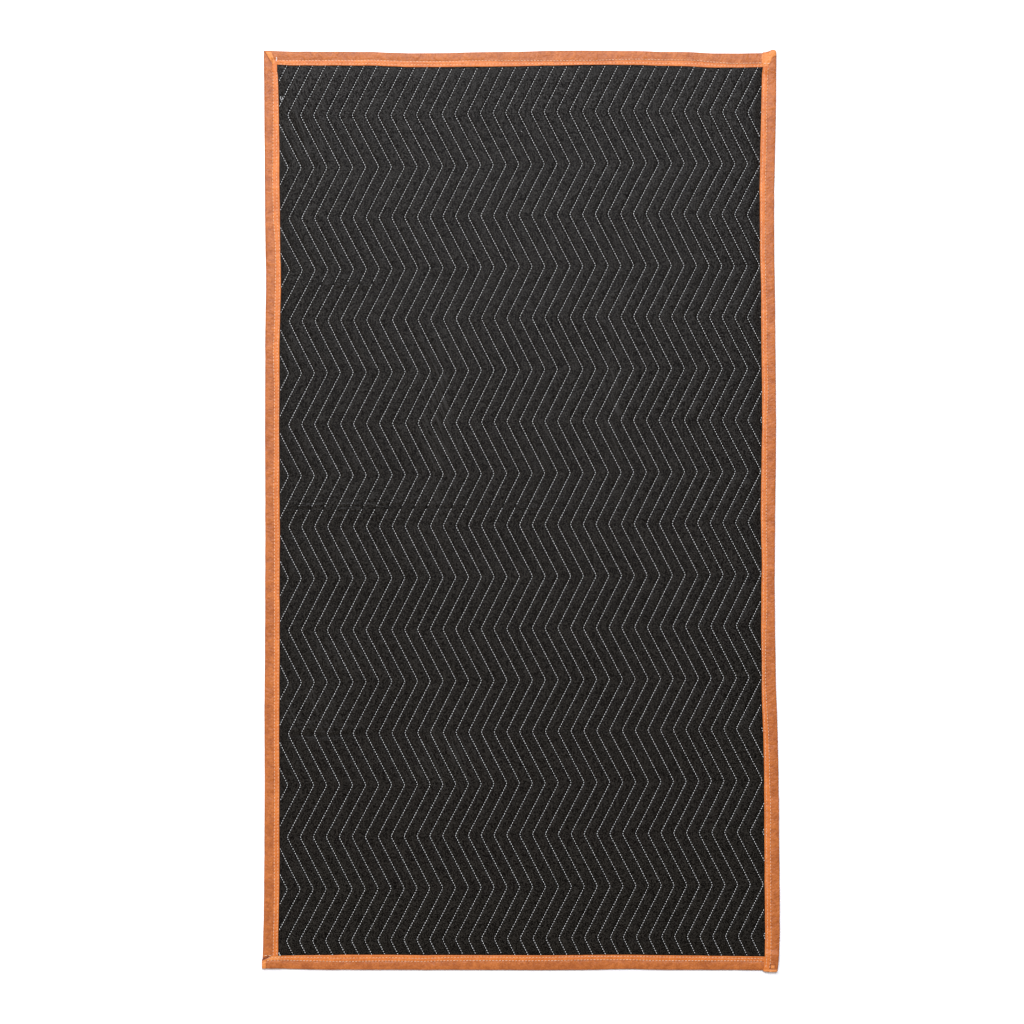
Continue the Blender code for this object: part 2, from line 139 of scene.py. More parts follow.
LINE_STRAY = ((-0.7, 1.4, 0.9, 1.3, 0.2),
              (-0.7, 2.5, 2.0, 2.4, 1.3),
              (0.2, 3.1, 3.1, 3.1, 2.1),
              (-0.5, 1.9, 2.4, 2.4, 0.7),
              (0.1, 3.2, 2.7, 1.8, 0.3),
              (-1.0, 3.1, 2.1, 1.3, -0.3),
              (-0.3, 3.5, 2.2, 0.6, -0.3),
              (-1.2, 3.0, 1.9, 1.3, 0.5),
              (-0.4, 2.9, 2.8, 3.0, 1.9),
              (-1.0, 2.9, 3.6, 4.3, 3.3),
              (-0.3, 2.8, 3.0, 4.2, 3.7),
              (-0.1, 3.0, 2.9, 4.5, 2.6),
              (-0.1, 2.5, 1.3, 2.2, -0.6),
              (-2.0, 1.2, -0.1, 1.4, -2.2),
              (-2.0, 0.3, 0.0, 0.5, -1.9),
              (-1.9, 0.4, 0.1, 0.8, -1.9),
              (-1.2, 1.5, 1.8, 1.7, -0.9))

# Creases and soft ridges in the pad: from, to, half width, rise, and how much they press the puffs.
#          x0    y0    x1    y1  half  rise  press
FOLDS = ((-470, 453, -200, 453, 5.0, -1.0, 0.25),
         (-200, 453, 470, 450, 8.0, -0.5, 0.15),
         (-470, 5, 20, 9, 5.0, -1.7, 0.3),
         (20, 9, 470, 2, 8.0, -0.7, 0.20),
         (-470, -447, -330, -447, 7.0, -1.4, 0.35),
         (-330, -447, 470, -450, 9.0, -0.5, 0.15),
         (-160, 365, -156, 60, 12.0, 1.6, -0.10),
         (50, 285, 51, 60, 11.0, 1.1, -0.05),
         (188, 405, 187, 40, 11.0, 1.2, -0.05),
         (-470, 868, -420, 700, 7.0, 1.6, 0.0),
         (-452, 872, -398, 712, 5.0, 1.2, 0.0))


# ---- small helpers -------------------------------------------------------------------------------
def smooth_table(table):
    """A smooth curve through a two-column table, with no overshoot between its rows."""
    px = np.array([r[0] for r in table], float)
    py = np.array([r[1] for r in table], float)
    h = np.diff(px)
    d = np.diff(py) / h
    m = np.zeros(len(px))
    m[0], m[-1] = d[0], d[-1]
    same = d[:-1] * d[1:] > 0
    m[1:-1][same] = 2 * d[:-1][same] * d[1:][same] / (d[:-1] + d[1:])[same]

    def read(at):
        at = np.clip(np.asarray(at, float), px[0], px[-1])
        i = np.clip(np.searchsorted(px, at, side="right") - 1, 0, len(h) - 1)
        t = (at - px[i]) / h[i]
        return ((2 * t**3 - 3 * t**2 + 1) * py[i] + (t**3 - 2 * t**2 + t) * h[i] * m[i]
                + (3 * t**2 - 2 * t**3) * py[i + 1] + (t**3 - t**2) * h[i] * m[i + 1])
    return read


def ease(t):
    t = np.clip(t, 0.0, 1.0)
    return t * t * (3 - 2 * t)


def noise(x, y, size_x, size_y, seed):
    """Smooth noise from -1 to 1, whose lumps are about size_x by size_y."""
    grid = np.random.default_rng(seed).uniform(-1, 1, (257, 257))
    gx, gy = np.asarray(x, float) / size_x + 57.31, np.asarray(y, float) / size_y + 43.77
    ix, iy = np.floor(gx).astype(int), np.floor(gy).astype(int)
    fx, fy = ease(gx - ix), ease(gy - iy)
    ix, iy, jx, jy = ix % 257, iy % 257, (ix + 1) % 257, (iy + 1) % 257
    low = grid[iy, ix] * (1 - fx) + grid[iy, jx] * fx
    high = grid[jy, ix] * (1 - fx) + grid[jy, jx] * fx
    return low * (1 - fy) + high * fy


def two_way(table, rows, columns, r, c):
    """Bilinear reading of a small table."""
    table = np.array(table, float)
    r, c = np.broadcast_arrays(np.clip(r, rows[0], rows[-1]), np.clip(c, columns[0], columns[-1]))
    fr = np.interp(r, rows, range(len(rows)))
    fc = np.interp(c, columns, range(len(columns)))
    i, j = np.minimum(fr.astype(int), len(rows) - 2), np.minimum(fc.astype(int), len(columns) - 2)
    a, b = fr - i, fc - j
    return ((1 - a) * (1 - b) * table[i, j] + (1 - a) * b * table[i, j + 1]
            + a * (1 - b) * table[i + 1, j] + a * b * table[i + 1, j + 1])


def to_row(points):
    out = np.array(points, float)
    out[:, 0] += SHIFT[0]
    out[:, 1] += SHIFT[1]
    return out * MM


def new_object(name, points, quads, tris, material, attributes=None, smooth=True):
    """A mesh object from points in millimetres and its faces; main() later hangs it on the one body."""
    quads = np.asarray(quads, np.int64).reshape(-1, 4)
    tris = np.asarray(tris, np.int64).reshape(-1, 3)
    mesh = bpy.data.meshes.new(name)
    co = to_row(points).astype(np.float32)
    mesh.vertices.add(len(co))
    mesh.vertices.foreach_set("co", co.ravel())
    loops = np.concatenate([quads.ravel(), tris.ravel()]).astype(np.int32)
    mesh.loops.add(len(loops))
    mesh.loops.foreach_set("vertex_index", loops)
    start = np.concatenate([np.arange(len(quads)) * 4, len(quads) * 4 + np.arange(len(tris)) * 3])
    mesh.polygons.add(len(start))
    mesh.polygons.foreach_set("loop_start", start.astype(np.int32))
    mesh.update(calc_edges=True)
    for key, values in (attributes or {}).items():
        layer = mesh.attributes.new(key, "FLOAT", "POINT")
        layer.data.foreach_set("value", np.asarray(values, np.float32))
    if smooth:
        mesh.shade_smooth()
    mesh.materials.append(material)
    made = bpy.data.objects.new(name, mesh)
    bpy.context.scene.collection.objects.link(made)
    return made


edge_left, edge_right = smooth_table(EDGE_LEFT), smooth_table(EDGE_RIGHT)
edge_top, edge_bottom = smooth_table(EDGE_TOP), smooth_table(EDGE_BOTTOM)
layout = {side: [smooth_table([(r[0], r[i]) for r in rows]) for i in (1, 2, 3)] for side, rows in LAYOUT.items()}


def left_x(y):
    return -WIDTH / 2 - OUT["left"] - edge_left(y) - 0.25 * noise(y, 0 * y, 26, 9, 11) * (np.abs(y) < 905)


def right_x(y):
    return WIDTH / 2 + OUT["right"] + edge_right(y) + 0.25 * noise(y, 0 * y, 26, 9, 12) * (np.abs(y) < 905)


def top_y(x):
    return LENGTH / 2 + OUT["top"] + edge_top(x) + 0.25 * noise(x, 0 * x, 26, 9, 13)


def bottom_y(x):
    return -LENGTH / 2 - edge_bottom(x) - 0.25 * noise(x, 0 * x, 26, 9, 14)


def tape_wide(side, v):
    return layout[side][0](v)


def row_a(side, v):
    return layout[side][1](v)


def row_b(side, v):
    return layout[side][2](v)


def hem_at(side, v):
    """The hem starts beside the outer row of stitches, and inside it along most of the top."""
    past = {"left": -0.4, "right": -0.3, "bottom": -0.8, "top": -0.4}[side]
    if side == "top":
        past = past + 2.6 * ease((np.asarray(v, float) + 130) / 90)
    return row_a(side, v) + past + 0.25 * noise(v, 0 * v, 13, 9, 77)


def inside(x, y):
    """How far a point lies inside the tapes' inner edges."""
    return np.minimum.reduce([x - left_x(y) - tape_wide("left", y), right_x(y) - x - tape_wide("right", y),
                              top_y(x) - y - tape_wide("top", x), y - bottom_y(x) - tape_wide("bottom", x)])


# ---- the quilting --------------------------------------------------------------------------------
def swing(rho):
    """0 on the rows where the lines point left, 1 where they point right, with rounded turns."""
    q = 1 - np.abs(np.mod(rho, 2) - 1)
    q = np.where(q < ROUND, q * q / (2 * ROUND) + ROUND / 2, q)
    p = 1 - q
    return np.where(p < ROUND, 1 - (p * p / (2 * ROUND) + ROUND / 2), q)


def place(s, rho):
    """Where the zigzag `s` pitches from line 0 has run down `rho` half periods from the first turn."""
    share = (s + LEFT_TURN + SWING * swing(rho)) / LINES
    x = (share - 0.5) * WIDTH
    for _ in range(4):
        y = (FIRST_TURN_Y - HALF_PERIOD * rho + ROW_TILT * x / WIDTH
             + two_way(ROW_STRAY, STRAY_ROWS, STRAY_X, rho, x))
        low, high = left_x(y) + OUT["left"], right_x(y) - OUT["right"]
        x = (low + (high - low) * share
             + two_way(LINE_STRAY, STRAY_ROWS, STRAY_X, rho, x))
    return x, y


def fold_effect(x, y):
    """Height that the folds add, and the share of the puffs that they press away."""
    rise, press = np.zeros_like(x), np.zeros_like(x)
    for x0, y0, x1, y1, half, high, flat in FOLDS:
        dx, dy = x1 - x0, y1 - y0
        long = math.hypot(dx, dy)
        t = ((x - x0) * dx + (y - y0) * dy) / long
        wander = 2.5 * noise(t, 0 * t, 38, 9, 31 + int(abs(x0)))
        across = np.abs(((x - x0) * dy - (y - y0) * dx) / long + wander)
        ends = ease(t / 30) * ease((long - t) / 30)
        near = np.exp(-(across / half) ** 2 * 1.6) * ends
        near *= 0.75 + 0.35 * noise(t, 0 * t, 22, 9, 67 + int(abs(y0)))
        rise += high * near
        press += flat * np.exp(-(across / (2.4 * half)) ** 2) * ends
    return rise, press


def relief(s):
    """How far the cloth stands above a line, in two parts: the narrow dip at the line, and the low crown
    between two lines."""
    part = np.clip(np.abs(s - np.round(s)) / 0.5, 0, 1)
    off = part * 11.3
    return 1 - np.exp(-(off / 2.3) ** 2), 1 - (1 - part) ** 2


def front_z(s, x, y):
    rise, press = fold_effect(x, y)
    full = 1.0 + 0.12 * noise(x, y, 70, 90, 1) + 0.22 * noise(x, y, 17, 21, 2)
    full -= press
    dip, crown = relief(s)
    z = SEAM_Z + DIP * dip + CROWN_RISE * full * crown
    z += rise + 0.22 * noise(x, y, 55, 60, 4) + 0.07 * noise(x, y, 9, 12, 5) * crown
    grown = ease((inside(x, y) - 0.4) / 15.0)
    return EDGE_HIGH_Z + (z - EDGE_HIGH_Z) * grown


def back_z(s, x, y):
    grown = ease((inside(x, y) - 0.4) / 9.0)
    dip, crown = relief(s)
    channel = 0.95 - 0.55 * dip - 0.40 * crown
    return EDGE_LOW_Z + (channel - EDGE_LOW_Z) * grown


def pad_grid(column_parts, row_parts, height):
    """A grid that follows the zigzags and ends at the pad's cut edge. It returns points, faces, the
    outline as (place round the edge, point number) and the places in the quilting."""
    s = np.array(sorted(k + f for k in range(-5, 40) for f in column_parts if -4.2 < k + f < 38.6))
    first, last = -1.1655, 16.585
    rows = [r + f for r in range(-2, 17) for f in row_parts]
    rows = np.array([first] + [r for r in rows if first + 0.02 < r < last - 0.02] + [last])

    def ends(edge, inset, start):
        """The half period at which each column meets the cut edge."""
        rho = np.full(len(s), start)
        for _ in range(8):
            x, y = place(s, rho)
            rho = rho + (y - (edge(x) + inset)) / HALF_PERIOD
        return rho
    at_top, at_bottom = ends(top_y, -PAD_INSET, first), ends(bottom_y, PAD_INSET, last)
    rho = np.repeat(rows[:, None], len(s), 1)
    rho = rho + (at_top - first)[None, :] * np.clip(1 - (rows - first) / 0.24, 0, 1)[:, None]
    rho = rho + (at_bottom - last)[None, :] * np.clip(1 - (last - rows) / 0.24, 0, 1)[:, None]
    ss = np.repeat(s[None, :], len(rows), 0)
    x, y = place(ss, rho)
    low, high = left_x(y) + PAD_INSET, right_x(y) - PAD_INSET
    off_left, off_right = x <= low + 0.3, x >= high - 0.3
    x = np.clip(x, low, high)
    # Only the innermost of the points that are beyond a side is kept; it lies on the cut edge.
    columns = np.arange(len(s))
    il = np.where(off_left, columns, -1).max(1)
    ir = np.where(off_right, columns, len(s)).min(1)
    use = np.clip(np.repeat(columns[None, :], len(rows), 0), il[:, None], ir[:, None])
    x[np.arange(len(rows)), il] = low[np.arange(len(rows)), il]
    x[np.arange(len(rows)), ir] = high[np.arange(len(rows)), ir]
    number = np.full(x.shape, -1)
    keep = (columns[None, :] >= il[:, None]) & (columns[None, :] <= ir[:, None])
    number[keep] = np.arange(keep.sum())
    number = np.take_along_axis(number, use, 1)
    points = np.stack([x[keep], y[keep], height(ss[keep], x[keep], y[keep])], 1)
    a, b = number[:-1, :-1], number[:-1, 1:]
    c, d = number[1:, 1:], number[1:, :-1]
    cells = np.stack([a.ravel(), d.ravel(), c.ravel(), b.ravel()], 1)
    same_top, same_low = cells[:, 0] == cells[:, 3], cells[:, 1] == cells[:, 2]
    quads = cells[~same_top & ~same_low]
    tris = np.concatenate([cells[same_top & ~same_low][:, [0, 1, 2]], cells[same_low & ~same_top][:, [0, 1, 3]]])
    last_row = len(rows) - 1
    loop = [(0 + (x[last_row, i] + 600) / 1200, number[last_row, i]) for i in range(il[-1], ir[-1])]
    loop += [(1 + (1000 + y[j, ir[j]]) / 2000, number[j, ir[j]]) for j in range(last_row, 0, -1)]
    loop += [(2 + (600 - x[0, i]) / 1200, number[0, i]) for i in range(ir[0], il[0], -1)]
    loop += [(3 + (1000 - y[j, il[j]]) / 2000, number[j, il[j]]) for j in range(0, last_row)]
    return points, quads, tris, loop, ss[keep], rho[keep]


def zipped(above, below):
    """Triangles between two outlines that run the same way round, from their first points on."""
    out, i, j = [], 0, 0
    n, m = len(above), len(below)
    while i < n or j < m:
        a, b = above[i % n][1], below[j % m][1]
        next_a = above[(i + 1) % n][0] + (4 if i + 1 >= n else 0)
        next_b = below[(j + 1) % m][0] + (4 if j + 1 >= m else 0)
        if j >= m or (i < n and next_a <= next_b):
            out.append((a, b, above[(i + 1) % n][1]))
            i += 1
        else:
            out.append((a, b, below[(j + 1) % m][1]))
            j += 1
    return out


def build_pad(material):
    parts = (0.0, 0.035, 0.08, 0.14, 0.26, 0.5, 0.74, 0.86, 0.92, 0.965)
    rows = (0.0, 0.03, 0.09, 0.20, 0.32, 0.44, 0.56, 0.68, 0.80, 0.91, 0.97)
    top, quads, tris, above, s, rho = pad_grid(parts, rows, front_z)
    low, low_quads, low_tris, below, back_s, back_rho = pad_grid(
        (0.0, 0.1, 0.5, 0.9), (0.0, 0.07, 0.5, 0.93), back_z)
    base = len(top)
    below = [(t, n + base) for t, n in below]
    points = np.concatenate([top, low])
    quads = np.concatenate([quads, low_quads[:, ::-1] + base])
    tris = np.concatenate([tris, low_tris[:, ::-1] + base, np.array(zipped(above, below))])
    s, rho = np.concatenate([s, back_s]), np.concatenate([rho, back_rho])
    x, y = points[:, 0], points[:, 1]
    seam = np.abs(s - np.round(s)) * (WIDTH / LINES) * 0.89
    part = s - np.floor(s + 1e-6)
    # before: distance on to the next line, which sets the painted shade on one side of each thread
    before = np.where(part < 1e-3, 0.0, 1 - part) * (WIDTH / LINES) * 0.89
    creased_h = np.zeros(len(x))
    creased_s = np.zeros(len(x))
    for cx, cy, wide, high, way, amount in CREASED:
        near = np.exp(-((x - cx) / wide) ** 2 - ((y - cy) / high) ** 2) * amount
        if way == "h":
            creased_h = np.maximum(creased_h, near)
        else:
            creased_s = np.maximum(creased_s, near)
    return new_object("pad", points, quads, tris, material, {
        "seam": seam, "before": before, "run": rho * STITCHES, "edge": inside(x, y),
        "creased_h": creased_h, "creased_s": creased_s})


# Where the cloth is finely wrinkled: middle, half sizes, the wrinkles' way (h level, s steep), amount. Steep
# wrinkles also carry a painted highlight, level ones painted shade.
#            x     y   wide  high way amount
CREASED = ((-330, 8, 200, 24, "h", 0.8),
           (60, 6, 300, 16, "h", 0.5),
           (-380, 452, 110, 9, "h", 0.5),
           (-410, -440, 70, 22, "h", 0.9),
           (60, -448, 420, 10, "h", 0.35),
           (-160, 190, 40, 190, "s", 0.9),
           (50, 150, 26, 110, "s", 0.6),
           (190, 200, 26, 170, "s", 0.7),
           (-430, 780, 50, 100, "s", 0.9),
           (-160, -500, 90, 60, "s", 0.6),
           (-410, -390, 60, 60, "s", 0.8),
           (-360, -300, 50, 40, "s", 0.5))


# ---- threads -------------------------------------------------------------------------------------
def stitch_mesh(name, start, end, width, height, material, down=False, seed=5, tones=None):
    """One small body for each stitch: it rises out of one needle hole and dips into the next."""
    rng = np.random.default_rng(seed)
    n = len(start)
    way = end - start
    long = np.linalg.norm(way[:, :2], axis=1)[:, None]
    along = way / long
    side = np.stack([-along[:, 1], along[:, 0], np.zeros(n)], 1)
    start = start + side * rng.normal(0, 0.04, n)[:, None]
    end = end + side * rng.normal(0, 0.04, n)[:, None]
    wide = (width * rng.uniform(0.92, 1.08, n))[:, None] / 2
    tall = (height * rng.uniform(0.85, 1.15, n))[:, None] * (-1 if down else 1)
    up = np.array([0.0, 0.0, 1.0])
    sink = -0.35 * tall
    parts = [start + up * sink]
    for t in (0.22, 0.78):
        mid = start + way * t
        parts += [mid - side * wide + up * sink * 0.3, mid + up * tall, mid + side * wide + up * sink * 0.3]
    parts.append(end + up * sink)
    points = np.stack(parts, 1).reshape(-1, 3)
    # 0 | 1 2 3 | 4 5 6 | 7
    one = np.array([(0, 2, 1), (0, 3, 2), (0, 1, 3),
                    (1, 2, 5), (1, 5, 4), (2, 3, 6), (2, 6, 5), (3, 1, 4), (3, 4, 6),
                    (4, 5, 7), (5, 6, 7), (6, 4, 7)])
    if not down:
        one = one[:, ::-1]
    tris = (one[None] + (np.arange(n) * 8)[:, None, None]).reshape(-1, 3)
    tone = rng.uniform(0, 1, n)
    if tones is not None:
        tone = tones[:, 0] + (tones[:, 1] - tones[:, 0]) * tone
    return new_object(name, points, [], tris, material, {"tone": np.repeat(tone, 8)})


def quilt_stitches(name, height, lift, material, down, seed):
    """The stitches of the zigzag lines on one face."""
    rng = np.random.default_rng(seed)
    count = int(round(18.4 * STITCHES))
    k = np.arange(count) - int(1.4 * STITCHES)
    n, k = np.meshgrid(np.arange(-4, 39), k)
    n, k = n.ravel().astype(float), k.ravel().astype(float)
    half = 0.34 + rng.uniform(-0.03, 0.03, len(n))
    middle = k + 0.02 * rng.normal(0, 1, len(n))
    ends = []
    for sign in (-1, 1):
        x, y = place(n, (middle + sign * half) / STITCHES)
        ends.append(np.stack([x, y, height(n, x, y) + lift], 1))
    mx, my = place(n, middle / STITCHES)
    keep = inside(mx, my) > 0.6
    return stitch_mesh(name, ends[0][keep], ends[1][keep], 1.22, 0.6, material, down, seed)


# ---- the tapes -----------------------------------------------------------------------------------
TAPE_STITCH = 6.5
CROWN = {"left": (0.75, 0.6), "right": (0.30, 1.0), "top": (0.45, 0.8), "bottom": (0.30, 1.0)}


def on_side(side, v, u):
    if side == "left":
        return left_x(v) + u, v
    if side == "right":
        return right_x(v) - u, v
    if side == "top":
        return v, top_y(v) - u
    return v, bottom_y(v) + u


SIDE_SEED = {"left": 100, "right": 200, "top": 300, "bottom": 400}

# Single creases across a tape: side, along, from u, to u, half width, rise.
TAPE_CREASES = (("top", -214, 2, 17, 2.2, -0.7),
                ("top", -188, 1, 17, 2.2, -0.8),
                ("bottom", 104, 6, 27, 2.5, 0.6),
                ("bottom", 128, 4, 22, 2.5, 0.45),
                ("bottom", 154, 4, 25, 3.0, 0.5),
                ("bottom", 190, 5, 25, 2.5, 0.45),
                ("bottom", -170, 3, 17, 3.0, 0.5),
                ("bottom", -235, 3, 17, 3.0, 0.45),
                ("right", 27, 2, 17, 2.5, -0.6),
                ("right", -21, 2, 17, 2.5, -0.6),
                ("left", 330, 2, 17, 2.5, -0.5),
                ("left", 140, 2, 17, 2.5, -0.5),
                ("left", -5, 2, 17, 2.5, -0.6),
                ("left", -29, 2, 17, 2.5, -0.5))


def tape_top(side, u, v, part=1.0):
    """Height of the upper flap's face, with no lap. `part` narrows the tape where its end is tucked in."""
    seed = SIDE_SEED[side]
    hem, inner = hem_at(side, v) * part, row_b(side, v) * part
    z = 5.15 + 0.85 * ease((u - hem + 0.5) / 1.0)
    crown, power = CROWN[side]
    z = z + crown * np.sin(np.clip(u / hem, 0, 1) ** power * np.pi) ** 2
    single = ease((hem - u) / 3.0)
    z = z + single * (0.30 * noise(u, v, 14, 13, seed + 3) + 0.20 * noise(u + 0.7 * v, v, 10, 7, seed + 4))
    z = z + (1 - single) * 0.14 * noise(u, v, 9, 8, seed + 5)
    z = z - 0.38 * np.exp(-((u - (hem - 0.5)) / 1.1) ** 2)
    z = z - 0.35 * np.exp(-((u - inner) / 1.1) ** 2) - 0.15 * np.exp(-((u - hem - 1.1) / 1.0) ** 2)
    for name, along, u0, u1, half, rise in TAPE_CREASES:
        if name == side:
            z = z + rise * np.exp(-((v - along + 0.15 * (u - 10)) / half) ** 2) * ease((u - u0) / 4) * ease((u1 - u) / 4)
    return z


def section(side, v, part=1.0, lift=0.0, collapsed=0.0):
    """The tape's closed section at places v along a side: arrays of u, z and the layer mask. part, lift
    and collapsed are numbers or arrays like v."""
    v = np.asarray(v, float)[:, None]
    part = np.broadcast_to(np.asarray(part, float), (len(v),))[:, None]
    lift = np.broadcast_to(np.asarray(lift, float), (len(v),))[:, None]
    collapsed = np.broadcast_to(np.asarray(collapsed, float), (len(v),))[:, None]
    wide, hem = tape_wide(side, v) * part, hem_at(side, v) * part
    k = wide / 29.4
    thick = 0.6
    one = np.ones_like(v)

    def cols(values, scale):
        return scale * np.array(values)[None, :]
    low = 0.25
    # lower flap, outer face
    bu = cols((28.9, 26.5, 23.0, 19.2, 17.2, 13.0, 8.5, 4.5, 2.0), k)
    bz = low + 0.0 * bu
    bm = (bu > 18.0 * k).astype(float)
    # outer fold
    ru, rz, rt = [], [], []
    edge_top_z = tape_top(side, 2.8 * k, v, part) - 0.05
    mid, half_high = (edge_top_z + low) / 2, (edge_top_z - low) / 2
    for angle in (-68, -42, -20, 0, 20, 42, 68):
        a = math.radians(angle)
        ru.append(2.8 * k * (1 - math.cos(a) ** 1.05))
        rz.append(mid + half_high * math.copysign(abs(math.sin(a)) ** 0.85, a))
        rt.append(0.5 + 0.5 * math.sin(a))
    ru, rz = np.concatenate(ru, 1), np.concatenate(rz, 1)
    rt = np.array(rt)[None, :] * one
    # upper flap, outer face
    tu = np.concatenate([cols((2.8, 3.8, 5.2, 6.8, 8.6, 10.8, 13.0, 14.8, 16.0), hem / 18.0), hem - 1.1, hem - 0.35,
                         hem + 0.35, hem + 1.2,
                         hem + cols((0.20, 0.30, 0.40, 0.50, 0.59, 0.68, 0.77, 0.86, 0.955), wide - hem)], 1)
    tz = tape_top(side, tu, v, part)
    tm = np.zeros_like(tu)
    tm[:, 11:] = 1.0
    # the folded inner edge
    last = tz[:, -1:]
    under = 4.25
    eu = np.concatenate([wide - 0.12, wide - 0.0, wide - 0.12], 1)
    ez = np.concatenate([last - 0.3, (last + under) / 2, under + 0.3 * one], 1)
    em = np.ones_like(eu)
    # upper flap, underside
    uu = np.concatenate([cols((28.7, 24.0), k), hem + 0.4, hem - 0.4, cols((13.0, 8.0, 3.0), hem / 18.0)], 1)
    uz = np.concatenate([under * one, under * one, under * one,
                         tape_top(side, uu[:, 3:], v, part) - thick], 1)
    uz = np.maximum(uz, under)
    # inner side of the outer fold
    iu = cols((2.0, 1.1, 2.0), k)
    iz = np.concatenate([mid + half_high * 0.55, mid, mid - half_high * 0.55], 1)
    # lower flap, inner face
    lu = np.concatenate([cols((3.0, 8.0, 13.0), hem / 18.0), hem - 0.4, hem + 0.4, cols((24.0, 28.5), k)], 1)
    lz = np.concatenate([(low + thick) * np.ones((len(v), 4)), 1.6 * np.ones((len(v), 3))], 1)
    fu = np.concatenate([wide - 0.05, wide - 0.05], 1)
    fz = np.concatenate([1.3 * one, 0.6 * one], 1)
    u = np.concatenate([bu, ru, tu, eu, uu, iu, lu, fu], 1)
    z = np.concatenate([bz, rz, tz, ez, uz, iz, lz, fz], 1)
    mask = np.concatenate([bm, 0 * ru, tm, em, 0 * uu + 0.5, 0 * iu, 0 * lu + 0.5, 0 * fu + 1], 1)
    share = np.concatenate([0 * bu, rt, 1 + 0 * tu, 1 + 0 * eu, 1 + 0 * uu,
                            np.array([[0.8, 0.5, 0.2]]) * one, 0 * lu, 0 * fu], 1)
    # Where another tape covers it, only the upper flap goes on.
    flat = under + (z - low) / (under - low) * 0.12
    z = np.where((collapsed > 0.5) & (z < under + 0.12), flat, z)
    return u, z + lift * share, mask


def corner_mask(x, y):
    """Where the tape lies folded over itself at its ends and at the mitre, 0 to 1."""
    out = np.zeros_like(x)
    for loop in CORNER_FOLDS:
        p = np.array(loop, float)
        px, py = (p[:, 0] - 520.0) * 1.992, (510.5 - p[:, 1]) * 1.992
        near = np.full(x.shape, 1e9)
        within = np.zeros(x.shape, bool)
        for i in range(len(p)):
            j = (i + 1) % len(p)
            ax, ay, bx, by = px[i], py[i], px[j], py[j]
            t = np.clip(((x - ax) * (bx - ax) + (y - ay) * (by - ay)) / ((bx - ax) ** 2 + (by - ay) ** 2), 0, 1)
            near = np.minimum(near, np.hypot(x - ax - t * (bx - ax), y - ay - t * (by - ay)))
            crosses = (ay > y) != (by > y)
            if by != ay:
                within ^= crosses & (x < ax + (bx - ax) * (y - ay) / (by - ay))
        out = np.maximum(out, ease(0.5 + np.where(within, near, -near) / 1.4))
    return out


# Outlines of the doubled places at the corners, in the photograph's frame.
CORNER_FOLDS = (((264.9, 51.2), (270.7, 51.4), (272.3, 54.8), (273.4, 58.3), (274.8, 61.4), (271.9, 63.8),
                 (270.0, 60.2), (267.8, 56.8), (265.1, 52.6)),
                ((761.5, 53.6), (767.0, 53.0), (769.5, 51.3), (772.5, 49.4), (775.2, 49.4), (776.4, 52.2),
                 (776.0, 54.6), (773.0, 55.9), (771.3, 57.6), (770.4, 60.2), (769.4, 62.7), (767.6, 64.9),
                 (761.5, 66.0)),
                ((762.5, 969.0), (777.8, 969.0), (777.8, 973.0), (762.5, 973.0)),
                ((770.4, 964.7), (773.9, 964.7), (773.9, 967.9), (770.4, 967.9)),
                ((260.0, 959.9), (265.5, 959.9), (265.4, 970.0), (260.0, 970.0)),
                ((264.0, 959.2), (267.6, 957.3), (270.3, 955.6), (279.5, 955.2), (279.5, 958.6), (268.0, 959.6)))


# Where the tape dives under itself: half width, strength and the line's points, in the same frame. The tape is
# dented along these lines, and painted shade darkens it there.
TUCKED = ((0.9, 0.9, ((264.2, 51.6), (267.2, 56.6), (269.6, 60.4), (271.4, 63.8))),
          (0.8, 0.6, ((271.2, 51.6), (272.9, 54.9), (274.1, 58.3), (274.9, 60.4))),
          (2.0, 1.3, ((262.4, 958.8), (264.4, 957.9), (266.2, 957.2), (268.0, 956.5))),
          (1.0, 0.8, ((268.2, 956.4), (269.6, 955.6))),
          (0.8, 0.6, ((266.0, 960.4), (266.0, 968.0))),
          (0.8, 0.8, ((774.6, 964.2), (770.0, 964.0), (769.7, 968.3), (777.0, 968.4))),
          (0.9, 0.6, ((774.6, 964.6), (774.6, 968.0))),
          (0.9, 0.6, ((769.0, 960.2), (769.0, 961.8))),
          (0.8, 0.35, ((777.0, 55.6), (773.6, 56.6), (772.0, 58.2), (771.0, 60.8), (770.0, 63.2))))


def tucked_lines(x, y):
    out = np.zeros_like(x)
    for half, amount, line in TUCKED:
        px, py = [(a - 520.0) * 1.992 for a, _ in line], [(510.5 - b) * 1.992 for _, b in line]
        for ax, ay, bx, by in zip(px, py, px[1:], py[1:]):
            t = np.clip(((x - ax) * (bx - ax) + (y - ay) * (by - ay)) / ((bx - ax) ** 2 + (by - ay) ** 2), 0, 1)
            off = np.hypot(x - ax - t * (bx - ax), y - ay - t * (by - ay))
            out = np.maximum(out, amount * np.exp(-(off / half) ** 2))
    return out


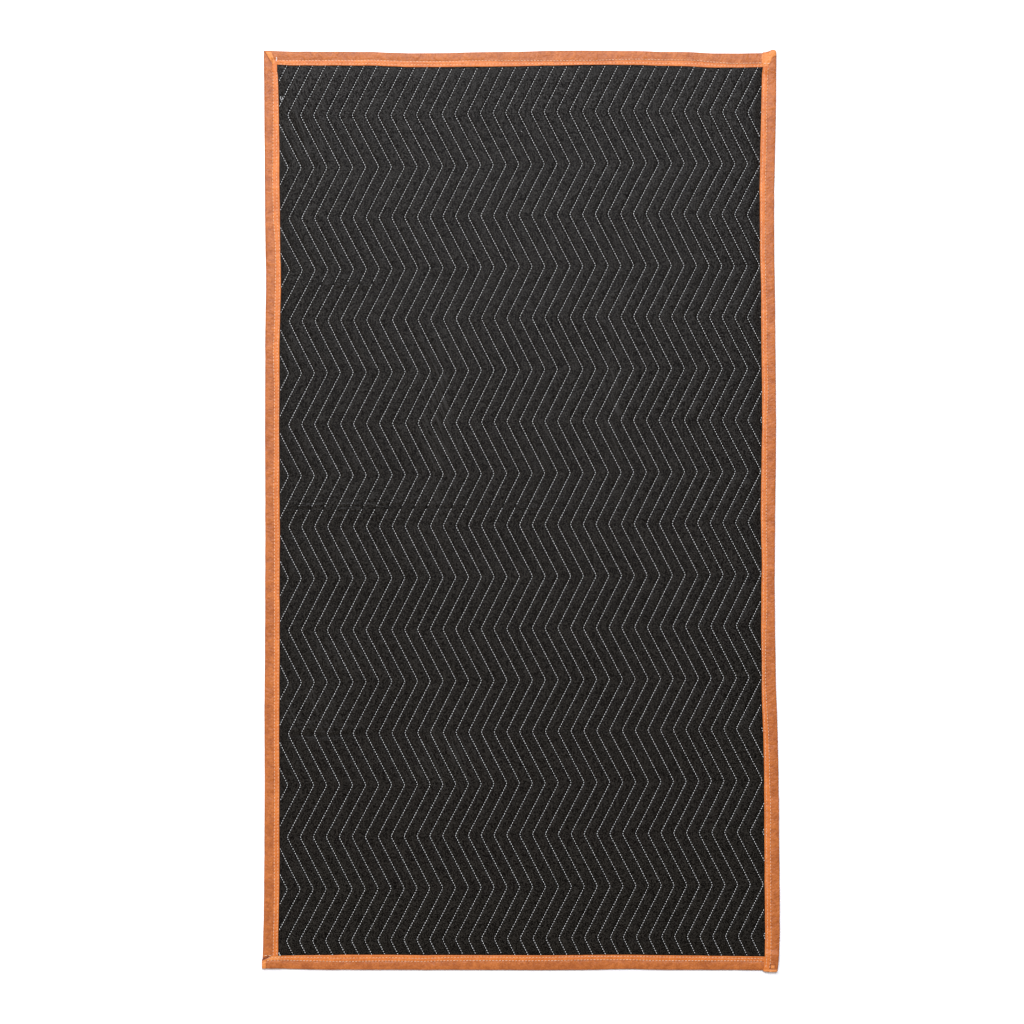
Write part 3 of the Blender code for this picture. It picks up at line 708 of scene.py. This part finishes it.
def swept(name, blocks, material):
    """A tape from blocks of stations: each block is (points (n, m, 3), mask (n, m), u (n, m), v (n, m)
    and the closeness to a row of stitches (n, m))."""
    co = np.concatenate([b[0] for b in blocks])
    mask = np.concatenate([b[1] for b in blocks])
    u = np.concatenate([b[2] for b in blocks])
    v = np.concatenate([b[3] for b in blocks])
    near = np.concatenate([b[4] for b in blocks])
    n, m = mask.shape
    x, y = co[..., 0].copy(), co[..., 1].copy()
    doubled = corner_mask(x, y)
    upper = co[..., 2] > 4.9
    # the lines where the tape dives under itself dent the upper flap and carry its painted shade
    tucked = tucked_lines(x, y) * upper
    co[..., 2] += 0.8 * doubled * upper * (1 - mask) - 0.6 * tucked
    mask = np.where(upper, np.maximum(mask, doubled), mask)
    i, j = np.meshgrid(np.arange(n - 1), np.arange(m), indexing="ij")
    k = (j + 1) % m
    quads = np.stack([i * m + j, i * m + k, (i + 1) * m + k, (i + 1) * m + j], -1).reshape(-1, 4)
    made = new_object(name, co.reshape(-1, 3), quads, [], material,
                      {"layers": mask.ravel(), "tape_u": u.ravel(), "tape_v": v.ravel(), "near_row": near.ravel(),
                       "tucked": tucked.ravel(), "turned": (doubled * upper * 0.9).ravel()})
    import bmesh
    shape = bmesh.new()
    shape.from_mesh(made.data)
    shape.verts.ensure_lookup_table()
    caps = [shape.faces.new([shape.verts[q] for q in range(m)]),
            shape.faces.new([shape.verts[(n - 1) * m + q] for q in reversed(range(m))])]
    bmesh.ops.triangulate(shape, faces=caps)
    bmesh.ops.recalc_face_normals(shape, faces=shape.faces)
    if shape.calc_volume(signed=True) < 0:
        bmesh.ops.reverse_faces(shape, faces=shape.faces)
    for f in shape.faces:
        f.smooth = True
    shape.to_mesh(made.data)
    shape.free()
    return made


def near_rows(side, v, u, part):
    """1 on a row of stitches, 0 from 3 mm off it."""
    v = np.asarray(v, float)[:, None]
    part = np.broadcast_to(np.asarray(part, float), (len(v),))[:, None]
    off = np.minimum(np.abs(u - row_a(side, v) * part), np.abs(u - row_b(side, v) * part))
    return np.clip(1 - off / 3.0, 0, 1)


def block(side, v, part=1.0, lift=0.0, collapsed=0.0, ends=None):
    """Stations along a side. `ends` gives the along-place of every point instead of v."""
    u, z, mask = section(side, v, part, lift, collapsed)
    along = np.repeat(np.asarray(v, float)[:, None], u.shape[1], 1) if ends is None else ends(u)
    x, y = on_side(side, along, u)
    return np.stack([x, y, z], -1), mask, u, along + 0 * u, near_rows(side, v, u, part)


# How the bottom tape's left end narrows: distance from its end, share of the width.
END_AT = np.array((0.0, 7.0, 15.5, 31.5, 45.0))
END_PART = np.array((0.72, 0.90, 0.99, 1.0, 1.0))


def spaced(a, b, step):
    return np.linspace(a, b, max(2, int(abs(b - a) / step) + 1))


def build_tapes(material):
    made = {}
    right_in = float(min(right_x(np.array([885.0, 914.0])) - tape_wide("right", 900.0)))
    right_in_low = float(min(right_x(np.array([-914.0, -880.0])) - tape_wide("right", -900.0)))
    bottom_in = float(bottom_y(np.array(-490.0)) + tape_wide("bottom", -490.0))
    wl, wt, wb = (float(tape_wide(*p)) for p in (("left", 900.0), ("top", -500.0), ("bottom", 500.0)))
    wt_end = float(tape_wide("top", 480.0))

    # Left and top: one tape, mitred at the top left corner.
    v = np.concatenate([spaced(float(bottom_y(np.array(-495.0))) + 4.0, bottom_in - 12.0, 4.0),
                        spaced(bottom_in - 10.5, bottom_in - 1.4, 1.3),
                        spaced(bottom_in - 0.9, bottom_in + 6, 1.7), spaced(bottom_in + 9, 868.0, 4.2)])
    blocks = [block("left", v, 1.0, 0.0, (v < bottom_in - 1.0).astype(float))]
    corner_y = float(top_y(np.array(-508.0)))
    ratio = wt / wl
    for t in spaced(0.0, 1.0, 1 / 40)[1:]:
        def turned(u, t=t):
            return 868.0 + (corner_y - u * ratio - 868.0) * t
        blocks.append(block("left", [868.0 + (corner_y - 868.0) * t], ends=turned))
    mitre = blocks[-1][0][0]
    v1 = -460.0
    for t in spaced(0.0, 1.0, 1 / 40)[1:]:
        here = [v1 + (mitre[0, 0] - v1) * (1 - t)]
        u, z, mask = section("top", here)
        along = mitre[None, :, 0] + (v1 - mitre[None, :, 0]) * t
        x, y = on_side("top", along, u)
        at_mitre = on_side("top", mitre[None, :, 0], u)[1]
        y = y + (mitre[None, :, 1] - at_mitre) * (1 - t)
        z = z + (mitre[None, :, 2] - z) * ease((1 - t) * 8 - 7)
        blocks.append((np.stack([x, y, z], -1), mask, u, along + 0 * u, near_rows("top", here, u, 1.0)))
    v = np.concatenate([spaced(v1, right_in - 6.0, 4.2)[1:], spaced(right_in - 4.5, right_in - 0.9, 1.2),
                        spaced(right_in - 0.4, float(right_x(np.array(900.0))) - 4.0, 4.0)])
    blocks.append(block("top", v, 1.0, 0.0, (v > right_in - 0.6).astype(float)))
    made["left_top"] = swept("binding_left_top_cloth", blocks, material)

    # Bottom: laps over the left tape's end and goes under the right one.
    end_x = float(left_x(np.array(-905.0))) - 1.0
    v = np.concatenate([spaced(end_x, end_x + 50, 1.6), spaced(end_x + 54, right_in_low - 6.0, 4.2),
                        spaced(right_in_low - 4.5, right_in_low - 0.9, 1.2),
                        spaced(right_in_low - 0.4, float(right_x(np.array(-900.0))) - 4.0, 4.0)])
    part = np.interp(v, END_AT + end_x, END_PART)
    lift = LAP_LIFT * (1 - ease((v - end_x - 31.5) / 14.0))
    blocks = [block("bottom", v, part, lift, (v > right_in_low - 0.6).astype(float))]
    made["bottom"] = swept("binding_bottom_cloth", blocks, material)

    # Right: laps over the ends of the top and the bottom tape.
    low, high = float(bottom_y(np.array(490.0))), float(top_y(np.array(490.0)))
    end_top = smooth_table(((0.0, 3.0), (4.0, 5.6), (7.0, 6.2), (14.0, 3.6), (21.0, 1.2), (30.0, 0.6)))
    end_low = smooth_table(((0.0, 0.2), (2.5, 2.0), (18.0, 1.8), (30.0, 0.4)))
    blocks = []
    for t in spaced(0, 1, 0.2)[:-1]:
        def low_end(u, t=t):
            return low - end_low(u) * (1 - t) + 5.0 * t
        blocks.append(block("right", [low + 5 * t], 1.0, LAP_LIFT, ends=low_end))
    v = np.concatenate([spaced(low + 5.0, low + wb + 16.0, 1.6), spaced(low + wb + 20.0, high - wt_end - 20.0, 4.2),
                        spaced(high - wt_end - 16.0, high - 5.0, 1.6)])
    lift = LAP_LIFT * (1 - ease((v - low - wb - 2.0) / 14.0)) + LAP_LIFT * ease((v - high + wt_end + 16.0) / 14.0)
    blocks.append(block("right", v, 1.0, lift))
    for t in spaced(0, 1, 0.2)[1:]:
        def high_end(u, t=t):
            return high - 5.0 * (1 - t) + (end_top(u) - 0.5) * t
        blocks.append(block("right", [high - 5 * (1 - t)], 1.0, LAP_LIFT, ends=high_end))
    # its upper end is turned down to the floor
    for angle in (30, 55, 75, 89):
        a = math.radians(angle)

        def turned_down(u, a=a):
            return high + end_top(u) - 0.5 + 0.5 * math.sin(a)
        last = block("right", [high], 1.0, LAP_LIFT, ends=turned_down)
        last[0][..., 2] = 0.25 + (last[0][..., 2] - 0.25) * math.cos(a) ** 0.7
        blocks.append(last)
    made["right"] = swept("binding_right_cloth", blocks, material)
    return made


# From, to, in the photograph's frame.
RUN_ON = (((263.4, 955.1), (271.4, 954.9)),
          ((762.6, 63.4), (769.6, 63.3)))


def tape_rows(side):
    """From where to where the two rows of stitches run on a side."""
    right_in = float(right_x(np.array(900.0)) - tape_wide("right", 900.0))
    right_in_low = float(right_x(np.array(-900.0)) - tape_wide("right", -900.0))
    bottom_in = float(bottom_y(np.array(-490.0)) + tape_wide("bottom", -490.0))
    return {"left": (bottom_in + 1.0, 880.0), "top": (-480.0, right_in - 1.0),
            "bottom": (-504.0, right_in_low - 1.0), "right": (-909.0, 884.0)}[side]


def tape_stitches(name, material, down, seed):
    rng = np.random.default_rng(seed)
    starts, ends, tones = [], [], []
    low, high = float(bottom_y(np.array(490.0))), float(top_y(np.array(490.0)))
    end_x = float(left_x(np.array(-905.0))) - 1.0
    for side in ("left", "right", "top", "bottom"):
        a, b = tape_rows(side)
        for row in (row_a, row_b):
            v = np.arange(a + (1.5 if row is row_a else 3.1), b - 3.0, TAPE_STITCH)
            v = v + rng.normal(0, 0.12, len(v))
            half = TAPE_STITCH * 0.41 + rng.normal(0, 0.15, len(v))
            ends_here = []
            for sign in (-1, 1):
                at = v + sign * half
                part, lift = np.ones(len(at)), np.zeros(len(at))
                if side == "bottom":
                    part = np.interp(at, END_AT + end_x, END_PART)
                    lift = LAP_LIFT * (1 - ease((at - end_x - 31.5) / 14.0))
                if side == "right":
                    lift = (LAP_LIFT * (1 - ease((at - low - float(tape_wide("bottom", 500.0)) - 2.0) / 14.0))
                            + LAP_LIFT * ease((at - high + float(tape_wide("top", 480.0)) + 16.0) / 14.0))
                u = row(side, at) * part
                x, y = on_side(side, at, u)
                z = 0.30 + 0 * at if down else tape_top(side, u, at, part) + lift + 0.02
                ends_here.append(np.stack([x, y, z], 1))
            starts.append(ends_here[0])
            ends.append(ends_here[1])
            tones.append(np.repeat([(0.25, 1.0) if row is row_a else (0.0, 0.7)], len(v), 0))
    if not down:
        # Rows that run on past a tape's edge onto the one below it.
        for row in RUN_ON:
            x, y = (np.array([q[0] for q in row]) - 520.0) * 1.992, (510.5 - np.array([q[1] for q in row])) * 1.992
            n = max(1, int(math.hypot(x[-1] - x[0], y[-1] - y[0]) / TAPE_STITCH))
            t = (np.arange(n)[:, None] + np.array([[0.1, 0.9]])) / n
            x, y = x[0] + (x[-1] - x[0]) * t, y[0] + (y[-1] - y[0]) * t
            z = 0 * x + 6.15 + (x > 0) * LAP_LIFT
            starts.append(np.stack([x[:, 0], y[:, 0], z[:, 0]], 1))
            ends.append(np.stack([x[:, 1], y[:, 1], z[:, 1]], 1))
            tones.append(np.repeat([(0.5, 1.0)], n, 0))
    height = 0.22 if down else 0.5
    return stitch_mesh(name, np.concatenate(starts), np.concatenate(ends), 1.4, height, material, down, seed,
                       np.concatenate(tones))


# Loose bits of thread: radius, height above the cloth, and the way they lie, in the photograph's frame.
LOOSE = ((0.50, 0.9, ((276.4, 56.6), (275.9, 57.6), (276.5, 58.6), (275.7, 59.6), (276.0, 60.8))),
         (0.30, 1.2, ((280.3, 95.6), (280.2, 97.6), (281.1, 99.6), (281.9, 98.0), (282.3, 96.6))),
         (0.38, 1.2, ((278.2, 952.4), (278.9, 953.6), (279.4, 954.6), (279.3, 955.6))),
         (0.4, 0.4, ((520.6, 130.8), (521.1, 131.1), (521.6, 131.3))))


def loose_threads(name, material):
    points, quads = [], []
    for radius, above, line in LOOSE:
        x = (np.array([p[0] for p in line]) - 520.0) * 1.992
        y = (510.5 - np.array([p[1] for p in line])) * 1.992
        at = np.linspace(0, len(line) - 1, 5 * len(line))
        knots = list(range(len(line)))
        x, y = smooth_table(list(zip(knots, x)))(at), smooth_table(list(zip(knots, y)))(at)
        on_tape = inside(x, y) < 0
        z = np.where(on_tape, 6.2, SEAM_Z + 0.6) + above * (0.6 + 0.4 * np.sin(at * 2.1))
        middle = np.stack([x, y, z], 1)
        way = np.gradient(middle, axis=0)
        way /= np.linalg.norm(way, axis=1)[:, None]
        side = np.stack([-way[:, 1], way[:, 0], 0 * way[:, 0]], 1)
        side /= np.linalg.norm(side, axis=1)[:, None]
        up = np.cross(way, side)
        base, m = sum(len(p) for p in points), 6
        taper = np.minimum(1, 0.35 + np.minimum(np.arange(len(at)), np.arange(len(at))[::-1]) * 0.35)
        for i in range(len(at)):
            turn = np.arange(m) * 2 * math.pi / m
            points.append(middle[i] + radius * taper[i] * (np.cos(turn)[:, None] * side[i] + np.sin(turn)[:, None] * up[i]))
        for i in range(len(at) - 1):
            quads += [(base + i * m + k, base + i * m + (k + 1) % m, base + (i + 1) * m + (k + 1) % m,
                       base + (i + 1) * m + k) for k in range(m)]
        for first, turned in ((base, True), (base + (len(at) - 1) * m, False)):
            ring = [(first, first + 1, first + 2, first + 3), (first, first + 3, first + 4, first + 5)]
            quads += [r[::-1] if turned else r for r in ring]
    points = np.concatenate(points)
    return new_object(name, points, quads, [], material, {"tone": np.full(len(points), 0.8)})


# ---- materials -----------------------------------------------------------------------------------
class Nodes:
    """A few words for building a node tree."""

    def __init__(self, name):
        self.material = bpy.data.materials.new(name)
        self.material.use_nodes = True
        self.tree = self.material.node_tree
        self.shader = self.tree.nodes["Principled BSDF"]
        self.at = self.node("ShaderNodeTexCoord").outputs["Object"]

    def node(self, kind, **values):
        made = self.tree.nodes.new(kind)
        for key, value in values.items():
            setattr(made, key, value)
        return made

    def plug(self, socket, value):
        if isinstance(value, bpy.types.NodeSocket):
            self.tree.links.new(value, socket)
        else:
            socket.default_value = value

    def math(self, operation, a, b=0.0, c=0.0, clamp=False):
        made = self.node("ShaderNodeMath", operation=operation, use_clamp=clamp)
        self.plug(made.inputs[0], a)
        self.plug(made.inputs[1], b)
        self.plug(made.inputs[2], c)
        return made.outputs[0]

    def ramp(self, value, low, high, to_low=0.0, to_high=1.0):
        made = self.node("ShaderNodeMapRange", interpolation_type="SMOOTHSTEP")
        for i, v in enumerate((value, low, high, to_low, to_high)):
            self.plug(made.inputs[i], v)
        return made.outputs[0]

    def attribute(self, name):
        return self.node("ShaderNodeAttribute", attribute_name=name).outputs["Fac"]

    def noise(self, scale, detail=2.0, rough=0.5, stretch=None, turn=0.0, vector=None):
        vector = vector or self.at
        for key, value in (("Rotation", (0, 0, turn)), ("Scale", stretch)):
            if stretch and value != (0, 0, 0.0):
                mapping = self.node("ShaderNodeMapping")
                self.plug(mapping.inputs["Vector"], vector)
                mapping.inputs[key].default_value = value
                vector = mapping.outputs[0]
        made = self.node("ShaderNodeTexNoise")
        self.plug(made.inputs["Vector"], vector)
        made.inputs["Scale"].default_value = scale
        made.inputs["Detail"].default_value = detail
        made.inputs["Roughness"].default_value = rough
        return made.outputs["Fac"]

    def mix(self, factor, a, b):
        made = self.node("ShaderNodeMix", data_type="RGBA")
        self.plug(made.inputs["Factor"], factor)
        self.plug(made.inputs["A"], (*a, 1.0) if isinstance(a, tuple) else a)
        self.plug(made.inputs["B"], (*b, 1.0) if isinstance(b, tuple) else b)
        return made.outputs["Result"]

    def bump(self, height_mm, strength=1.0):
        made = self.node("ShaderNodeBump")
        made.inputs["Strength"].default_value = strength
        made.inputs["Distance"].default_value = MM
        self.plug(made.inputs["Height"], height_mm)
        self.plug(self.shader.inputs["Normal"], made.outputs[0])


def black_cloth():
    n = Nodes("black_cloth")
    seam, run = n.attribute("seam"), n.attribute("run")
    # speckle of the felted fibres, and broader mottling
    fine = n.noise(545.0, 1.0, 0.5)
    broad = n.noise(26.0, 3.0, 0.6)
    speckle = n.ramp(fine, 0.43, 0.59)
    tone = n.math("ADD", n.math("MULTIPLY", speckle, 0.93), n.math("MULTIPLY", n.ramp(broad, 0.3, 0.7), 0.07))
    cloth = n.mix(tone, (0.0018, 0.0012, 0.0008), (0.0168, 0.0137, 0.0102))
    # Along the creases, paler flecks are a painted highlight on the ridges, and darkening is painted shade in the
    # furrows.
    level = n.noise(1.0, 2.0, 0.5, (16.0, 120.0, 16.0))
    steep = n.noise(1.0, 2.0, 0.5, (210.0, 14.0, 14.0), math.radians(-24))
    pale = n.math("MULTIPLY", n.ramp(steep, 0.50, 0.66), n.attribute("creased_s"))
    # painted highlight: the ridges of steep creases are mixed towards a paler grey
    cloth = n.mix(n.math("MULTIPLY", pale, 0.8), cloth, (0.0300, 0.0270, 0.0240))
    # painted shade: the furrows of level creases, darkened below together with the holes
    furrow_shade = n.math("MULTIPLY", n.ramp(level, 0.44, 0.34), n.attribute("creased_h"))
    # The cloth is drawn into the needle holes by the bump below. Painted shade darkens the holes and the side of
    # each thread turned from the light.
    to_hole = n.math("ABSOLUTE", n.math("SUBTRACT", n.math("FRACT", run), 0.5))
    hole = n.math("MULTIPLY", n.ramp(to_hole, 0.20, 0.08), n.ramp(seam, 1.5, 0.6))
    beside = n.ramp(n.attribute("before"), 3.6, 1.1, 0.0, 0.92)
    # dark gathers the painted shade of the holes, the seam sides and the furrows, mixed towards black below
    dark = n.math("MAXIMUM", n.math("MAXIMUM", hole, beside), n.math("MULTIPLY", furrow_shade, 0.5))
    n.plug(n.shader.inputs["Base Color"], n.mix(dark, cloth, (0.0012, 0.0011, 0.0010)))
    n.shader.inputs["Roughness"].default_value = 0.45
    n.plug(n.shader.inputs["Specular IOR Level"], n.ramp(fine, 0.43, 0.59, 0.030, 0.150))
    # puckers across the seams, one to a stitch
    wave = n.math("COSINE", n.math("MULTIPLY", run, 2 * math.pi))
    pucker = n.math("MULTIPLY", wave, n.ramp(seam, 5.5, 0.5, 0.0, 0.16))
    wrinkles = n.math("ADD", n.math("MULTIPLY", n.math("MULTIPLY", level, n.attribute("creased_h")), 3.0),
                      n.math("MULTIPLY", n.math("MULTIPLY", steep, n.attribute("creased_s")), 1.9))
    lumps = n.math("MULTIPLY", n.noise(110.0, 2.0, 0.5), 0.3)
    grain = n.math("MULTIPLY", fine, 0.4)
    total = n.math("ADD", n.math("ADD", pucker, wrinkles), n.math("ADD", lumps, grain))
    total = n.math("SUBTRACT", total, n.math("MULTIPLY", hole, 0.6))
    n.bump(total)
    return n.material


def orange_tape():
    n = Nodes("orange_tape")
    layers = n.attribute("layers")
    u, v = n.attribute("tape_u"), n.attribute("tape_v")
    local = n.node("ShaderNodeCombineXYZ")
    n.plug(local.inputs[0], u)
    n.plug(local.inputs[1], v)
    local = local.outputs[0]
    fine = n.noise(420.0, 2.0, 0.6)
    patchy = n.noise(120.0, 2.0, 0.6)
    broad = n.noise(34.0, 2.0, 0.6)
    tone = n.math("ADD", n.math("MULTIPLY", n.ramp(fine, 0.38, 0.62), 0.36),
                  n.math("ADD", n.math("MULTIPLY", n.ramp(patchy, 0.34, 0.66), 0.36),
                         n.math("MULTIPLY", n.ramp(broad, 0.34, 0.66), 0.28)))
    single = n.mix(tone, (0.280, 0.062, 0.006), (0.505, 0.144, 0.026))
    double = n.mix(tone, (0.430, 0.096, 0.008), (0.655, 0.187, 0.032))
    cloth = n.mix(n.attribute("turned"), n.mix(layers, single, double), (0.640, 0.215, 0.045))
    # painted shade: the tape is darkened to deep brown along the lines where it dives under itself
    n.plug(n.shader.inputs["Base Color"], n.mix(n.attribute("tucked"), cloth, (0.16, 0.030, 0.005)))
    n.shader.inputs["Roughness"].default_value = 0.46
    n.shader.inputs["Specular IOR Level"].default_value = 0.36
    # fine wrinkles across and aslant, weaker where the hem doubles the tape
    across = n.noise(1.0, 3.0, 0.5, (0.06, 0.17, 1.0), 0.0, local)
    slanted = n.noise(1.0, 2.0, 0.5, (0.09, 0.26, 1.0), math.radians(28), local)
    loose = n.math("SUBTRACT", 1.0, n.math("MULTIPLY", layers, 0.5))
    folds = n.math("MULTIPLY", n.math("ADD", across, slanted), n.math("MULTIPLY", loose, 0.75))
    grain = n.math("ADD", n.math("MULTIPLY", fine, 0.5), n.math("MULTIPLY", patchy, 1.3))
    wave = n.math("COSINE", n.math("MULTIPLY", v, 2 * math.pi / TAPE_STITCH))
    pucker = n.math("MULTIPLY", n.math("MULTIPLY", wave, n.ramp(n.attribute("near_row"), 0.0, 0.9)), 0.14)
    n.bump(n.math("ADD", n.math("ADD", folds, grain), pucker))
    return n.material


def thread(name, dark, light):
    n = Nodes(name)
    tone = n.math("ADD", n.math("MULTIPLY", n.attribute("tone"), 0.7), n.math("MULTIPLY", n.noise(900.0, 2.0), 0.3))
    n.plug(n.shader.inputs["Base Color"], n.mix(tone, dark, light))
    n.shader.inputs["Roughness"].default_value = 0.6
    n.shader.inputs["Specular IOR Level"].default_value = 0.3
    n.bump(n.math("MULTIPLY", n.noise(1500.0, 1.0), 0.12))
    return n.material


def pale_floor():
    n = Nodes("pale_floor")
    n.plug(n.shader.inputs["Base Color"], n.mix(n.noise(3.0), (0.92, 0.92, 0.92), (0.94, 0.94, 0.94)))
    n.shader.inputs["Roughness"].default_value = 0.9
    n.shader.inputs["Specular IOR Level"].default_value = 0.1
    return n.material


# ---- the scene -----------------------------------------------------------------------------------
def area_light(name, at, towards, size_x, size_y, power, colour):
    data = bpy.data.lights.new(name, "AREA")
    data.shape = "RECTANGLE"
    data.size, data.size_y = size_x, size_y
    data.energy = power
    data.color = colour
    made = bpy.data.objects.new(name, data)
    bpy.context.scene.collection.objects.link(made)
    made.location = at
    direction = [t - a for t, a in zip(towards, at)]
    from mathutils import Vector
    made.rotation_mode = "QUATERNION"
    made.rotation_quaternion = Vector(direction).to_track_quat("-Z", "Y")
    return made


def set_stage():
    scene = bpy.context.scene
    scene.view_settings.view_transform = "Standard"
    scene.view_settings.look = "None"
    world = bpy.data.worlds.new("studio")
    scene.world = world
    world.use_nodes = True
    back = world.node_tree.nodes["Background"]
    back.inputs["Color"].default_value = (1.0, 1.0, 1.0, 1.0)
    back.inputs["Strength"].default_value = 0.31
    area_light("key", (-2.6, 5.0, 6.0), (0.0, 0.0, 0.0), 2.6, 2.6, 440.0, (0.97, 0.99, 1.03))
    area_light("overhead", (0.4, 2.9, 7.0), (0.1, 0.2, 0.0), 3.4, 2.0, 415.0, (0.94, 0.98, 1.09))
    area_light("fill", (-2.6, -3.0, 3.0), (0.0, -0.3, 0.0), 2.5, 2.5, 45.0, (1.06, 1.0, 0.93))

    floor = bpy.data.meshes.new("floor")
    half = 6.0
    floor.from_pydata([(-half, -half, 0), (half, -half, 0), (half, half, 0), (-half, half, 0)], [], [(0, 1, 2, 3)])
    floor.materials.append(pale_floor())
    ground = bpy.data.objects.new("floor", floor)
    ground.location = (0, 0, -0.0001)
    scene.collection.objects.link(ground)
    ground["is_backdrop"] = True

    camera = bpy.data.cameras.new("camera")
    camera.lens = 85.0
    camera.sensor_width = 36.0
    camera.sensor_fit = "HORIZONTAL"
    camera.clip_end = 60.0
    made = bpy.data.objects.new("camera", camera)
    made.location = (-0.0179, -0.0005, 4.822)
    scene.collection.objects.link(made)
    scene.camera = made


def main():
    set_stage()
    black, orange = black_cloth(), orange_tape()
    white = thread("quilting_thread", (0.66, 0.65, 0.63), (1.0, 0.99, 0.96))
    pale = thread("binding_thread", (0.66, 0.37, 0.20), (0.88, 0.60, 0.43))
    pad = build_pad(black)
    front = quilt_stitches("quilting_stitches", front_z, 0.05, white, False, 21)
    back = quilt_stitches("quilting_stitches_back", back_z, -0.05, white, True, 22)
    tapes = build_tapes(orange)
    loose = loose_threads("loose_threads", white)
    rows = tape_stitches("binding_stitches", pale, False, 31)
    rows_back = tape_stitches("binding_stitches_back", pale, True, 32)
    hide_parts("quilted_pad")
    for key, made in tapes.items():
        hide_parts("binding_" + key)
    for piece in (pad, front, back, loose, rows, rows_back, *tapes.values()):
        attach(piece, "root")
    count = {o.name: sum(len(p.vertices) - 2 for p in o.data.polygons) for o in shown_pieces()}
    print("triangles", count, sum(count.values()))


main()
